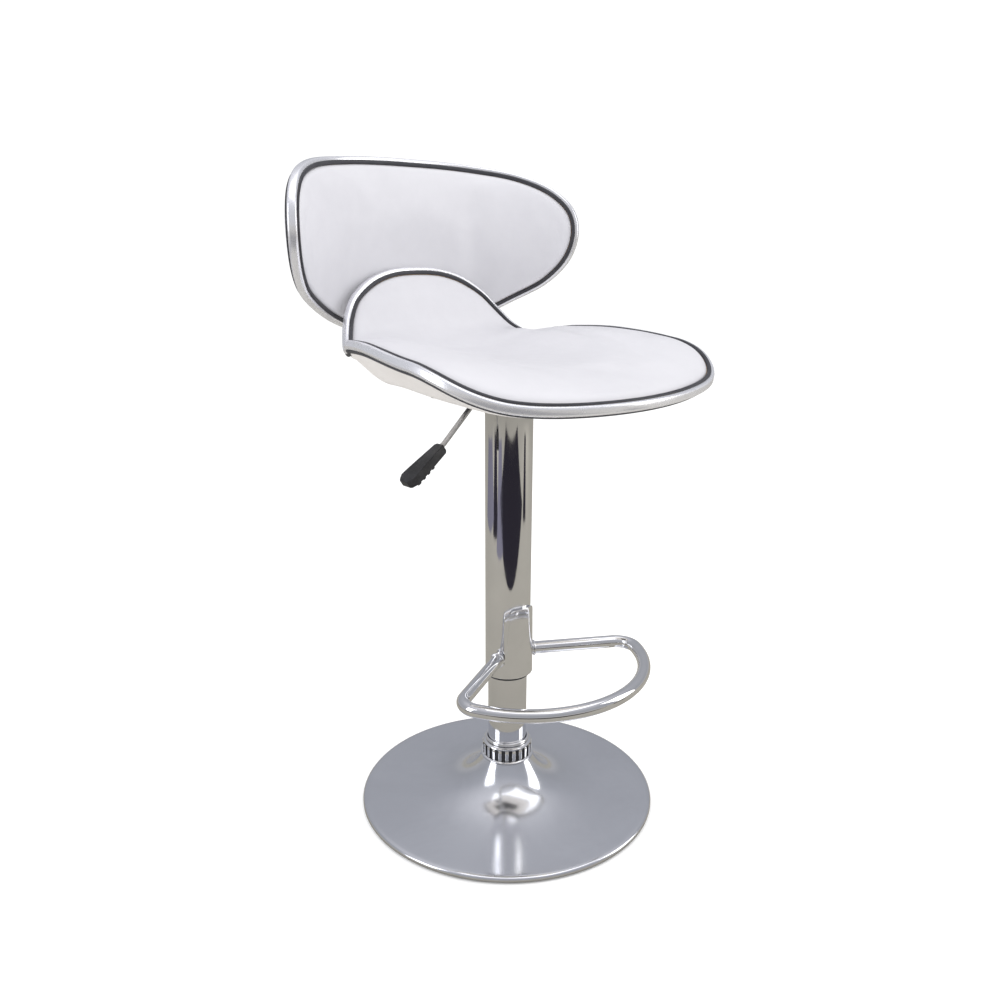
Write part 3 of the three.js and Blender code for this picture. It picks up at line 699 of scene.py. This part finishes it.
def smooth_rim(half_outline):
    """The smooth closed outline as dense points, with its length at each and its outward directions."""
    mirrored = [(-a, b) for a, b in reversed(half_outline[1:-1])]
    points = np.array(half_outline + mirrored, float)
    count = len(points)
    t = np.linspace(0, 1, 60, endpoint=False)[:, None]
    spans = []
    for i in range(count):
        p0, p1, p2, p3 = (points[(i + k) % count] for k in (-1, 0, 1, 2))
        d0, d1, d2 = (math.sqrt(np.linalg.norm(q - p)) for p, q in ((p0, p1), (p1, p2), (p2, p3)))
        leaving = ((p1 - p0) / d0 - (p2 - p0) / (d0 + d1) + (p2 - p1) / d1) * d1
        arriving = ((p2 - p1) / d1 - (p3 - p1) / (d1 + d2) + (p3 - p2) / d2) * d1
        spans.append((2 * t**3 - 3 * t**2 + 1) * p1 + (t**3 - 2 * t**2 + t) * leaving
                     + (3 * t**2 - 2 * t**3) * p2 + (t**3 - t**2) * arriving)
    dense = np.concatenate(spans)
    closed = np.concatenate([dense, dense[:1]])
    length = np.concatenate([[0], np.cumsum(np.linalg.norm(np.diff(closed, axis=0), axis=1))])
    tangent = np.roll(dense, -1, axis=0) - np.roll(dense, 1, axis=0)
    tangent /= np.linalg.norm(tangent, axis=1, keepdims=True)
    outward = np.stack([tangent[:, 1], -tangent[:, 0]], axis=1)
    outward = np.concatenate([outward, outward[:1]])
    return length / length[-1], closed, outward


SEAT_RIM = smooth_rim(SEAT_OUTLINE)
BACK_RIM = smooth_rim(BACK_OUTLINE)


def rim_at(rim, t):
    """Points of the outline at fractions t of its length, and the outward directions there."""
    length, points, outward = rim
    t = np.mod(t, 1)
    place = np.stack([np.interp(t, length, points[:, k]) for k in (0, 1)], axis=-1)
    out = np.stack([np.interp(t, length, outward[:, k]) for k in (0, 1)], axis=-1)
    return place, out / np.linalg.norm(out, axis=-1, keepdims=True)


def rim_loop(name, rim, middle, section):
    """A closed loop of constant section that follows the rim of a bent panel."""
    place, out = rim_at(rim, np.arange(RIM_STATIONS) / RIM_STATIONS)
    rings = [bend(middle, *(place + reach * out).T, offset) for reach, offset in section]
    faces = []
    for i in range(len(rings)):
        here = i * RIM_STATIONS
        beside = (i + 1) % len(rings) * RIM_STATIONS
        for k in range(RIM_STATIONS):
            n = (k + 1) % RIM_STATIONS
            faces.append((here + k, beside + k, beside + n, here + n))
    shape = from_points(name, np.concatenate(rings), faces)
    edit()
    close_and_smooth()
    return shape


def trim_section():
    """The moulding: a rolled channel with a soft nose and turned-in lips."""
    nose = [(-3.0 + 3.0 * math.cos(a), 2.2 * math.copysign(1, a) + 3.0 * math.sin(a))
            for a in np.radians([80, 60, 40, 20, 5, -5, -20, -40, -60, -80])]
    return [(-TRIM_DEPTH, TRIM_HALF - 0.5), (-TRIM_DEPTH + 0.5, TRIM_HALF), (-3.6, TRIM_HALF), *nose,
            (-3.6, -TRIM_HALF), (-TRIM_DEPTH + 0.5, -TRIM_HALF), (-TRIM_DEPTH, -TRIM_HALF + 0.5)]


def welt_section(side):
    """Piping cord under leatherette: a half round."""
    middle = -WELT_INSET - WELT_WIDTH / 2
    base = TRIM_HALF + WELT_GAP
    return [(middle + math.cos(a) * WELT_WIDTH / 2, side * (base + math.sin(a) * WELT_CROWN))
            for a in np.radians(np.linspace(0, 180, 11))]


# ---- Pads ----
def square_rings(steps):
    """Ring number and place round the ring, 0 to 1, for each point of a square grid."""
    index = np.arange(-steps, steps + 1)
    i, j = np.meshgrid(index, index, indexing="ij")
    k = np.maximum(np.abs(i), np.abs(j))
    p = np.select(
        [(j == -k) & (i >= 0), (i == k), (j == k), (i == -k)],
        [i, 2 * k + j, 4 * k - i, 6 * k - j],
        7 * k + (i + k),
    )
    return k.ravel(), (p / np.maximum(8 * k, 1)).ravel()


def pad_points(rim, middle, centre_b, side, height, base_height):
    """Points of a pad: its crowned face, its rolled edge and its flat back."""
    ring, turn = square_rings(PAD_STEPS)
    grid_place, grid_out = rim_at(rim, turn)

    def spot(place, out, fraction):
        inset = place - PAD_INSET * out
        a = inset[:, 0] * fraction
        return a, centre_b + (inset[:, 1] - centre_b) * fraction

    share = ring / PAD_STEPS
    spread = share * (1.3 - 0.3 * share)
    edge_start = 0.968
    fraction = spread * edge_start
    a, b = spot(grid_place, grid_out, fraction)
    face = bend(middle, a, b, side * (PAD_FACE + height(fraction, a, b)))
    back_a, back_b = spot(grid_place, grid_out, spread)
    back = bend(middle, back_a, back_b, side * base_height)
    outer = np.flatnonzero(ring == PAD_STEPS)
    outer = outer[np.argsort(turn[outer])]
    rolls = []
    for angle in np.radians([25, 50, 70]):
        reach = np.full(len(outer), edge_start + (1 - edge_start) * math.sin(angle))
        a, b = spot(grid_place[outer], grid_out[outer], reach)
        lift = base_height + (PAD_FACE + height(reach, a, b) - base_height) * math.cos(angle)
        rolls.append(bend(middle, a, b, side * lift))
    return face, rolls, back, outer


def pad_faces(outer, rolls):
    width = 2 * PAD_STEPS + 1
    count = width * width
    grid = np.arange(count).reshape(width, width)
    corners = [grid[:-1, :-1], grid[1:, :-1], grid[1:, 1:], grid[:-1, 1:]]
    quads = np.stack(corners, axis=-1).reshape(-1, 4)
    back_start = count + rolls * len(outer)
    faces = quads.tolist() + (quads[:, ::-1] + back_start).tolist()
    rolled = [count + r * len(outer) + np.arange(len(outer)) for r in range(rolls)]
    rows = [outer, *rolled, outer + back_start]
    for upper, lower in zip(rows, rows[1:]):
        around = np.stack([np.roll(upper, -1), upper, lower, np.roll(lower, -1)], axis=-1)
        faces += around.tolist()
    return faces


def puff(pad, held, pressure, most):
    """Inflates the pad as cloth with its seams held, keeping each point within a few millimetres."""
    count = len(pad.data.vertices)
    start = np.empty(count * 3)
    pad.data.vertices.foreach_get("co", start)
    start = start.reshape(-1, 3)
    group = pad.vertex_groups.new(name="sewn")
    group.add(held, 1.0, "REPLACE")
    cloth = pad.modifiers.new("cloth", "CLOTH")
    cloth.settings.vertex_group_mass = "sewn"
    cloth.settings.use_pressure = True
    cloth.settings.uniform_pressure_force = pressure
    cloth.settings.effector_weights.gravity = 0
    cloth.collision_settings.use_collision = False
    scene = bpy.context.scene
    for step in range(1, 21):
        scene.frame_set(step)
    swollen = pad.evaluated_get(bpy.context.evaluated_depsgraph_get()).to_mesh()
    moved = np.empty(count * 3)
    swollen.vertices.foreach_get("co", moved)
    pad.modifiers.remove(cloth)
    scene.frame_set(1)
    shift = moved.reshape(-1, 3) - start
    distance = np.linalg.norm(shift, axis=1, keepdims=True)
    limited = most * MM * np.tanh(distance / (most * MM))
    pad.data.vertices.foreach_set("co", (start + shift * limited / np.maximum(distance, 1e-9)).ravel())
    pad.vertex_groups.clear()


def make_pad(name, rim, middle, centre_b, side, height, material, fill, pressure, most):
    face, rolls, back, outer = pad_points(rim, middle, centre_b, side, height, PAD_FACE)
    points = np.concatenate([face, *rolls, back])
    pad = from_points(name + "_fine", points, pad_faces(outer, len(rolls)))
    edit()
    bpy.ops.mesh.normals_make_consistent(inside=False)
    bpy.ops.object.mode_set(mode="OBJECT")
    if pressure:
        free = np.setdiff1d(np.arange(len(face)), outer)
        held = np.setdiff1d(np.arange(len(points)), free)
        puff(pad, held.tolist(), pressure, most)
    apply_modifier(pad, "SMOOTH", factor=0.5, iterations=2)
    apply_modifier(pad, "SUBSURF", levels=1, render_levels=1)
    pick(pad)
    bpy.ops.object.shade_smooth()
    dress(pad, "seat", "white_leatherette", material, name)
    return pad


def crown(fraction):
    return 1 - fraction ** 8


def seat_top_height(fraction, a, b):
    return PAD_EDGE + crown(fraction) * (SEAT_CROWN - 12 * ramp(b, 100, 190))


def seat_under_height(fraction, a, b):
    bulge = ramp(fraction, 0.47, 0.72) * (1 - ramp(fraction, 0.72, 1.02))
    return UNDER_EDGE + UNDER_BELLY * bulge * ramp(b, -190, -120) * (1 - ramp(b, 70, 130))


def back_front_height(fraction, a, b):
    dish = 1 - ramp(np.hypot(a / 125, (b - 590) / 105), 0.82, 1.55)
    full = PAD_EDGE + BACK_FRONT_CROWN * crown(fraction)
    return full + (DISH_HEIGHT - full) * dish


def back_rear_height(fraction, a, b):
    height = PAD_EDGE + BACK_REAR_CROWN * crown(fraction)
    for x, z in BACK_BOLTS:
        pinch = 1 - ramp(np.hypot(a - x, b - z), 8.5, 22)
        height = height * (1 - pinch) + np.minimum(height, 1.2) * pinch
    return height


# ---- Pieces ----
def trumpet(r):
    return SKIRT_TOP + 3 * (1 - r / BASE_RADIUS) + NECK_RISE * math.exp(-(r - NECK_RADIUS) / FLARE)


def make_base():
    outer, inner = [], []
    steps = 44
    skirt = BASE_RADIUS - 6.5
    for i in range(steps, -1, -1):
        r = NECK_RADIUS + (skirt - NECK_RADIUS) * (i / steps) ** 1.6
        slope = (trumpet(r + 0.1) - trumpet(r - 0.1)) / 0.2
        steep = math.hypot(1, slope)
        outer.append((r, trumpet(r)))
        inner.insert(0, (r + SHEET * slope / steep, trumpet(r) - SHEET / steep))
    rim = [(BASE_RADIUS - 2.9, 1.2), (BASE_RADIUS - 1.6, 1.2), (BASE_RADIUS - 0.6, 1.8), (BASE_RADIUS, 3.0),
           (BASE_RADIUS, 4.6), (BASE_RADIUS - 0.4, 6.0), (BASE_RADIUS - 1.4, 7.2), (BASE_RADIUS - 3.0, 8.0)]
    profile = [*rim, *outer, *inner, (BASE_RADIUS - 2.9, 5.4)]
    dress(turned("base_shell_fine", profile, 160), "base", "base_chrome", BASE_CHROME, "base_shell")
    inside = BASE_RADIUS - 18
    outside = BASE_RADIUS - 3.5
    foot = [(inside, 0.6), (inside + 0.6, 0), (outside - 0.6, 0), (outside, 0.6),
            (outside, 4.4), (outside - 0.6, 5), (inside + 0.6, 5), (inside, 4.4)]
    dress(turned("floor_ring_fine", foot, 160), "base", "rubber", RUBBER, "floor_ring")


def make_collar():
    """The collar over the base's neck: a flange, a slotted ring whose slots show dark, and two lips; the
    dark in the slots is painted shade, a thin black ring behind the teeth.
    """
    collar = [(30.3, 58), (32.6, 58.8), (34.4, 59.7), (34.9, 60.8), (34.7, 62.0), (33.6, 62.9),
              (31.9, 63.3), (30.5, 63.5), (30.5, 78.4), (31.7, 78.6), (32.0, 79.3), (31.6, 80.2),
              (30.6, 80.8), (29.4, 81.2), (28.0, 81.6), (26.8, 81.5), (26.6, 81.0), (26.6, 64), (28.6, 61)]
    dress(turned("base_collar_fine", collar), "base", "base_chrome", TUBE_CHROME, "base_collar")
    # Painted shade: a thin black ring behind the teeth darkens the slots as shade would.
    painted_slot_shade = [(30.6, 63.6), (30.9, 63.6), (30.9, 78.3), (30.6, 78.3)]
    dress(turned("collar_painted_slot_shade", painted_slot_shade), "base", "black_plastic", BLACK_PLASTIC)
    bead = [(27.1 + 1.7 * math.cos(a), 84.5 + 2.4 * math.sin(a)) for a in np.radians(range(0, 360, 24))]
    dress(turned("collar_bead_fine", bead), "base", "base_chrome", TUBE_CHROME, "collar_bead")
    first = collar_tooth()
    for number in range(1, COLLAR_TEETH):
        copy = first.copy()
        copy.data = first.data.copy()
        copy.name = copy.data.name = f"collar_tooth_{number + 1:02d}"
        copy.data.transform(Matrix.Rotation(2 * math.pi * number / COLLAR_TEETH, 4, "Z"))
        bpy.context.scene.collection.objects.link(copy)
        dress(copy, "base", "base_chrome", TUBE_CHROME)
    dress(first, "base", "base_chrome", TUBE_CHROME)


def collar_tooth():
    """One upright bar of the slotted ring."""
    centre = Vector((31.9, 0, 71)) * MM
    deselect()
    bpy.ops.mesh.primitive_cube_add(size=1, location=centre)
    tooth = named("collar_tooth_01")
    bpy.ops.object.transform_apply(location=True)
    edit()
    bpy.ops.transform.resize(value=(1.6 * MM, 4.4 * MM, 14.4 * MM), center_override=centre)
    bpy.ops.mesh.bevel(offset=0.7 * MM, segments=3, affect="EDGES")
    close_and_smooth()
    return tooth


def make_column():
    bore = STAND_RADIUS - 2
    stand = [(bore, STAND_BOTTOM), (STAND_RADIUS, STAND_BOTTOM), (STAND_RADIUS, STAND_TOP - 0.5),
             (STAND_RADIUS - 0.5, STAND_TOP), (bore, STAND_TOP)]
    dress(turned("stand_tube_fine", stand), "base", "tube_chrome", TUBE_CHROME, "stand_tube")
    inside = COVER_RADIUS - COVER_WALL
    top = PLATE_BOTTOM - 0.3
    cover = [(inside, COVER_BOTTOM), (COVER_RADIUS - 0.5, COVER_BOTTOM), (COVER_RADIUS, COVER_BOTTOM + 0.5),
             (COVER_RADIUS, top), (inside, top)]
    tube = turned("cover_tube_fine", cover)
    bpy.ops.mesh.primitive_cube_add(size=1, location=((-COVER_RADIUS + 1) * MM, 0, 529 * MM))
    slot_tool = bpy.context.object
    slot_tool.scale = (6 * MM, 10 * MM, 22 * MM)
    carve(tube, slot_tool, "DIFFERENCE")
    dress(tube, "seat", "tube_chrome", TUBE_CHROME, "cover_tube")
    bush = [(25.4, 178.0), (28.0, 178.0), (28.4, 178.4), (28.4, 181.8), (26.9, 181.8), (26.7, 222),
            (25.4, 222)]
    dress(turned("cover_bush_fine", bush), "seat", "black_plastic", BLACK_PLASTIC, "cover_bush")


def foot_plan():
    """Plan of the footrest loop: the front bend's centre, its turning angle and the arm's direction."""
    reach = FOOT_FRONT_RADIUS - FOOT_BEND_RADIUS
    turn = math.asin((FOOT_HALF_WIDTH - FOOT_BEND_RADIUS) / reach)
    bend_u = FOOT_FRONT_CENTRE + reach * math.cos(turn)
    bend_v = reach * math.sin(turn)
    root_u, root_v = FOOT_ROOT
    away = math.hypot(bend_u - root_u, bend_v - root_v)
    arm_angle = math.atan2(bend_v - root_v, bend_u - root_u) + math.asin(FOOT_BEND_RADIUS / away)
    return turn, bend_u, bend_v, arm_angle, math.sqrt(away ** 2 - FOOT_BEND_RADIUS ** 2)


def make_footrest():
    turn, bend_u, bend_v, arm_angle, arm_length = foot_plan()
    z = FOOT_HEIGHT * MM

    def plan(u, v):
        return Vector((v * MM, -u * MM, z))

    root_u, root_v = FOOT_ROOT
    inside = 6
    along = Vector((math.sin(arm_angle), -math.cos(arm_angle), 0))
    start = plan(root_u, root_v) - along * inside * MM
    loop = start_circle("footrest_loop_fine", FOOT_TUBE_RADIUS * MM, start, along, 40)
    extrude(along * (arm_length + inside) * MM)
    tight = arm_angle + math.pi / 2 - turn
    bpy.ops.mesh.spin(steps=22, angle=tight, center=plan(bend_u, bend_v), axis=(0, 0, 1))
    bpy.ops.mesh.spin(steps=72, angle=2 * turn, center=plan(FOOT_FRONT_CENTRE, 0), axis=(0, 0, 1))
    bpy.ops.mesh.spin(steps=22, angle=tight, center=plan(bend_u, -bend_v), axis=(0, 0, 1))
    back = Vector((math.sin(arm_angle), math.cos(arm_angle), 0))
    extrude(back * (arm_length + inside) * MM)
    bpy.ops.mesh.select_all(action="SELECT")
    bpy.ops.mesh.fill_holes(sides=0)
    close_and_smooth()
    bore = turned("bore", [(0.5, 150), (COVER_RADIUS + 3.5, 150), (COVER_RADIUS + 3.5, 300), (0.5, 300)])
    carve(loop, bore, "DIFFERENCE")
    dress(loop, "seat", "tube_chrome", TUBE_CHROME, "footrest_loop")


def saddle_half_width(height):
    """Half the width of the saddle, seen from the front: wide at its foot, with a round-cornered tongue."""
    if height > SADDLE_ROUND_FROM:
        above = min(height - SADDLE_ROUND_FROM, SADDLE_CORNER)
        return SADDLE_TONGUE - SADDLE_CORNER + math.sqrt(SADDLE_CORNER ** 2 - above ** 2)
    if height < SADDLE_FOOT_TOP:
        return SADDLE_SHOULDER + 1.8 * (SADDLE_FOOT_TOP - height)
    t = (height - SADDLE_FOOT_TOP) / (SADDLE_ROUND_FROM - SADDLE_FOOT_TOP)
    return SADDLE_SHOULDER * (1 - t) ** 2 + 40 * t * (1 - t) + SADDLE_TONGUE * t * t


def make_saddle():
    """A sheet bent round the tube, laid out row by row because its width changes with height."""
    outer = COVER_RADIUS + 3.3
    heights = list(np.linspace(COVER_BOTTOM, SADDLE_ROUND_FROM, 44))
    heights += [SADDLE_ROUND_FROM + SADDLE_CORNER * math.sin(a) for a in np.radians(range(15, 91, 15))]
    across = np.linspace(-1, 1, 25)
    points = []
    for radius in (outer, COVER_RADIUS + 0.3):
        for height in heights:
            reach = math.asin(min(saddle_half_width(height) / outer, 1))
            angles = reach * across
            points += [(radius * math.sin(a), -radius * math.cos(a), height) for a in angles]
    rows, columns = len(heights), len(across)
    front = np.arange(rows * columns).reshape(rows, columns)
    rim = np.concatenate([front[0], front[1:, -1], front[-1, -2::-1], front[-2:0:-1, 0]])
    corners = [front[:-1, :-1], front[:-1, 1:], front[1:, 1:], front[1:, :-1]]
    quads = np.stack(corners, axis=-1).reshape(-1, 4)
    behind = rows * columns
    edge = np.stack([np.roll(rim, -1), rim, rim + behind, np.roll(rim, -1) + behind], axis=-1)
    sheet = from_points("footrest_saddle_fine", points,
                        quads.tolist() + (quads[:, ::-1] + behind).tolist() + edge.tolist())
    edit()
    close_and_smooth()
    round_edges(sheet, 0.7, 3)
    dress(sheet, "seat", "tube_chrome", TUBE_CHROME, "footrest_saddle")


def make_weld_beads():
    """Polished weld where each footrest arm meets the saddle."""
    arm_angle = foot_plan()[3]
    root_u, root_v = FOOT_ROOT
    for side, name in ((1, "footrest_weld_right"), (-1, "footrest_weld_left")):
        along = Vector((side * math.sin(arm_angle), -math.cos(arm_angle), 0))
        centre = Vector((side * root_v * MM, -root_u * MM, FOOT_HEIGHT * MM)) - along * 3.4 * MM
        deselect()
        turn = Vector((0, 0, 1)).rotation_difference(along).to_euler()
        bpy.ops.mesh.primitive_torus_add(
            major_radius=(FOOT_TUBE_RADIUS + 0.1) * MM, minor_radius=1.5 * MM,
            major_segments=48, minor_segments=14, location=centre, rotation=turn)
        bead = named(name)
        bpy.ops.object.transform_apply(location=True, rotation=True)
        edit()
        bpy.ops.mesh.select_mode(type="VERT")
        bpy.ops.transform.resize(value=(1, 1, 1.04), center_override=centre)
        close_and_smooth()
        dress(bead, "seat", "tube_chrome", TUBE_CHROME)


def make_lever_rod():
    pivot_x, pivot_z = LEVER_PIVOT
    elbow_x, elbow_z = LEVER_ELBOW
    corner_x = -53
    slope = math.atan2(pivot_z - elbow_z, corner_x - elbow_x)
    rod_bend = 14
    tangent = rod_bend * math.tan(slope / 2)
    rod = start_circle("lever_rod_fine", LEVER_ROD_RADIUS * MM, (2.6 * MM, 0, pivot_z * MM), (-1, 0, 0), 28)
    extrude(((corner_x + tangent - 2.6) * MM, 0, 0))
    centre = Vector(((corner_x + tangent) * MM, 0, (pivot_z - rod_bend) * MM))
    bpy.ops.mesh.spin(steps=10, angle=slope, center=centre, axis=(0, 1, 0))
    run = math.hypot(corner_x - elbow_x, pivot_z - elbow_z)
    turn_back = slope - HANDLE_SLOPE
    second = rod_bend * math.tan(abs(turn_back) / 2)
    along = Vector((-math.cos(slope), 0, -math.sin(slope)))
    extrude(along * (run - tangent - second) * MM)
    side = 1 if turn_back > 0 else -1
    normal = Vector((-math.sin(slope), 0, math.cos(slope))) * side
    elbow_start = Vector((elbow_x * MM, 0, elbow_z * MM)) - along * second * MM
    elbow_centre = elbow_start + normal * rod_bend * MM
    bpy.ops.mesh.spin(steps=8, angle=-turn_back, center=elbow_centre, axis=(0, 1, 0))
    extrude(Vector((-math.cos(HANDLE_SLOPE), 0, -math.sin(HANDLE_SLOPE))) * (30 - second) * MM)
    bpy.ops.mesh.select_all(action="SELECT")
    bpy.ops.mesh.fill_holes(sides=0)
    close_and_smooth()
    deselect()
    for radius, depth, operation in ((4.6, 11.2, "UNION"), (2.9, 20, "DIFFERENCE")):
        bpy.ops.mesh.primitive_cylinder_add(
            vertices=32, radius=radius * MM, depth=depth * MM,
            location=(pivot_x * MM, 0, pivot_z * MM), rotation=(math.pi / 2, 0, 0))
        carve(rod, bpy.context.object, operation)
    dress(rod, "lever", "plain_steel", PLAIN_STEEL, "lever_rod")


# Stations of the handle: distance along it, half width, and how far it reaches above and below the rod.
HANDLE_STATIONS = [
    (0, 5.2, 3.2, 5.0), (3, 7.0, 4.0, 6.6), (20, 9.0, 4.0, 6.6), (25, 9.6, 4.0, 6.6), (29, 10.0, 4.0, 6.6),
    (33, 10.5, 4.0, 6.6), (37, 10.9, 4.0, 6.6), (41, 11.3, 4.0, 6.6), (45, 11.6, 4.0, 6.6),
    (49, 12.0, 4.0, 6.6), (54, 12.0, 4.0, 6.6), (60, 8.2, 3.8, 6.6), (62, 7.0, 2.6, 5.0),
]
HANDLE_RIDGES = [(25, 29), (33, 37), (41, 45), (49, 54)]
RIDGE_HEIGHT = 1.4


def make_handle():
    """A moulded grip: lofted by extruding and scaling a plate, then ridged below and bevelled."""
    deselect()
    bpy.ops.mesh.primitive_plane_add(size=1, location=(0, 0, 0), rotation=(0, math.pi / 2, 0))
    grip = named("lever_handle_fine")
    bpy.ops.object.transform_apply(rotation=True)
    edit()
    distance, half_width, above, below = HANDLE_STATIONS[0]
    size = (1, 2 * half_width * MM, (above + below) * MM)
    bpy.ops.transform.resize(value=size, center_override=(0, 0, 0))
    bpy.ops.transform.translate(value=(0, 0, (above - below) / 2 * MM))
    for last, station in zip(HANDLE_STATIONS, HANDLE_STATIONS[1:]):
        extrude(((station[0] - last[0]) * MM, 0, 0))
        middle = (station[0] * MM, 0, (last[2] - last[3]) / 2 * MM)
        height = (station[2] + station[3]) / (last[2] + last[3])
        bpy.ops.transform.resize(value=(1, station[1] / last[1], height), center_override=middle)
        rise = (station[2] - station[3]) - (last[2] - last[3])
        bpy.ops.transform.translate(value=(0, 0, rise / 2 * MM))
    close_and_smooth()

    def is_ridge(face):
        return face.normal.z < -0.9 and any(low < face.center.x / MM < high for low, high in HANDLE_RIDGES)

    select_faces(grip, is_ridge)
    extrude((0, 0, -RIDGE_HEIGHT * MM))
    bpy.ops.object.mode_set(mode="OBJECT")
    round_edges(grip, 0.9, 3)
    elbow_x, elbow_z = LEVER_ELBOW
    along = Vector((-math.cos(HANDLE_SLOPE), 0, -math.sin(HANDLE_SLOPE)))
    above_axis = Vector((-math.sin(HANDLE_SLOPE), 0, math.cos(HANDLE_SLOPE)))
    sideways = above_axis.cross(along)
    turn = Matrix((along, sideways, above_axis)).transposed().to_4x4()
    place = Matrix.Translation(Vector((elbow_x, 0, elbow_z)) * MM + along * 4 * MM)
    grip.data.transform(place @ turn)
    dress(grip, "lever", "black_plastic", BLACK_PLASTIC, "lever_handle")


def bolt(name, head_radius, head_height, shank_radius, shank_length, hexagon):
    """A bolt along +Z with its head's foot at the origin: head with a bevelled crown, and shank."""
    deselect()
    sides = 6 if hexagon else 40
    bpy.ops.mesh.primitive_cylinder_add(vertices=sides, radius=head_radius * MM, depth=head_height * MM,
                                        location=(0, 0, head_height / 2 * MM))
    made = named(name)
    bpy.ops.object.transform_apply(location=True)
    select_faces(made, lambda face: face.normal.z > 0.9)
    bpy.ops.mesh.inset(thickness=head_radius * 0.16 * MM)
    bpy.ops.transform.translate(value=(0, 0, head_height * 0.12 * MM))
    if not hexagon:
        bpy.ops.mesh.inset(thickness=head_radius * 0.34 * MM)
        extrude((0, 0, -head_height * 0.5 * MM))
    close_and_smooth()
    bpy.ops.mesh.primitive_cylinder_add(vertices=24, radius=shank_radius * MM, depth=shank_length * MM,
                                        location=(0, 0, -shank_length / 2 * MM + 0.1 * MM))
    shank = bpy.context.object
    carve(made, shank, "UNION")
    round_edges(made, 0.25, 2)
    return made


def copies(first, names, places, turn):
    """Puts a copy of the piece, with its own mesh, at each place, and drops the first."""
    made = []
    for name, place in zip(names, places):
        copy = first.copy()
        copy.data = first.data.copy()
        copy.name = copy.data.name = name
        copy.data.transform(Matrix.Translation(Vector(place) * MM) @ turn)
        bpy.context.scene.collection.objects.link(copy)
        made.append(copy)
    bpy.data.objects.remove(first)
    return made


def make_bolts():
    head_face = BACK_OFFSET + SHELL_HALF + 1
    back_places = [(x, head_face, z) for x, z in BACK_BOLTS]
    seat_places = [(x, y, PLATE_BOTTOM - 0.3) for x, y in PLATE_BOLTS]
    for panel, sizes, hexagon, places, turn in (
        ("back", (7.5, 4.4, 3.6, 28), False, back_places, -math.pi / 2),
        ("seat", (7.5, 4.9, 3.8, 17), True, seat_places, math.pi),
    ):
        first = bolt("bolt_pattern", *sizes, hexagon)
        names = [f"{panel}_bolt_{i + 1}" for i in range(4)]
        made = copies(first, [name + "_fine" for name in names], places, Matrix.Rotation(turn, 4, "X"))
        for name, piece in zip(names, made):
            dress(piece, "seat", "plain_steel", PLAIN_STEEL, name)


def make_upholstery():
    seat = (SEAT_RIM, seat_middle, SEAT_CENTRE)
    back = (BACK_RIM, back_middle, BACK_CENTRE)
    make_pad("seat_top_pad", *seat, 1, seat_top_height, LEATHER, 0.7, 3.0, 3)
    make_pad("seat_bottom_pad", *seat, -1, seat_under_height, UNDER_LEATHER_BOUNCE_LIT, 0.5, 0, 0)
    make_pad("back_front_pad", *back, 1, back_front_height, LEATHER, 0.6, 3.0, 3)
    make_pad("back_rear_pad", *back, -1, back_rear_height, LEATHER, 0.6, 3.0, 2.5)
    for panel, rim, middle in (("seat", SEAT_RIM, seat_middle), ("back", BACK_RIM, back_middle)):
        trim = rim_loop(f"{panel}_trim_fine", rim, middle, trim_section())
        dress(trim, "seat", "trim_chrome", TRIM_CHROME, f"{panel}_trim")
    welts = (("seat_top_welt", SEAT_RIM, seat_middle, 1), ("seat_bottom_welt", SEAT_RIM, seat_middle, -1),
             ("back_front_welt", BACK_RIM, back_middle, 1), ("back_rear_welt", BACK_RIM, back_middle, -1))
    for name, rim, middle, side in welts:
        welt = rim_loop(f"{name}_fine", rim, middle, welt_section(side))
        dress(welt, "seat", "charcoal_welt", WELT, name)


KEPT_NODES = {
    "bottom_cover": BLACK_PLASTIC, "ballast_disc": CAST_STEEL, "base_socket": CAST_STEEL,
    "guide_bush": BLACK_PLASTIC, "rod_end_plate": PLAIN_STEEL, "bearing_race_lower": PLAIN_STEEL,
    "bearing_race_upper": PLAIN_STEEL, "bearing_balls": PLAIN_STEEL, "rod_clip": PLAIN_STEEL,
    "piston_rod": PLAIN_STEEL, "piston_head": BLACK_PLASTIC, "gas_cylinder": BLACK_PAINT,
    "rod_seal": RUBBER, "seat_plate": BLACK_PAINT, "lever_pivot_pin": PLAIN_STEEL,
    "release_pin": PLAIN_STEEL, "seat_shell": PLYWOOD, "back_shell": PLYWOOD,
}


def finish_kept_nodes():
    for name, material in KEPT_NODES.items():
        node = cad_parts[name]
        node.data.materials.clear()
        node.data.materials.append(material)


set_camera()
set_stage()
set_light()
finish_kept_nodes()
make_base()
make_collar()
make_column()
make_footrest()
make_saddle()
make_weld_beads()
make_lever_rod()
make_handle()
make_bolts()
make_upholstery()
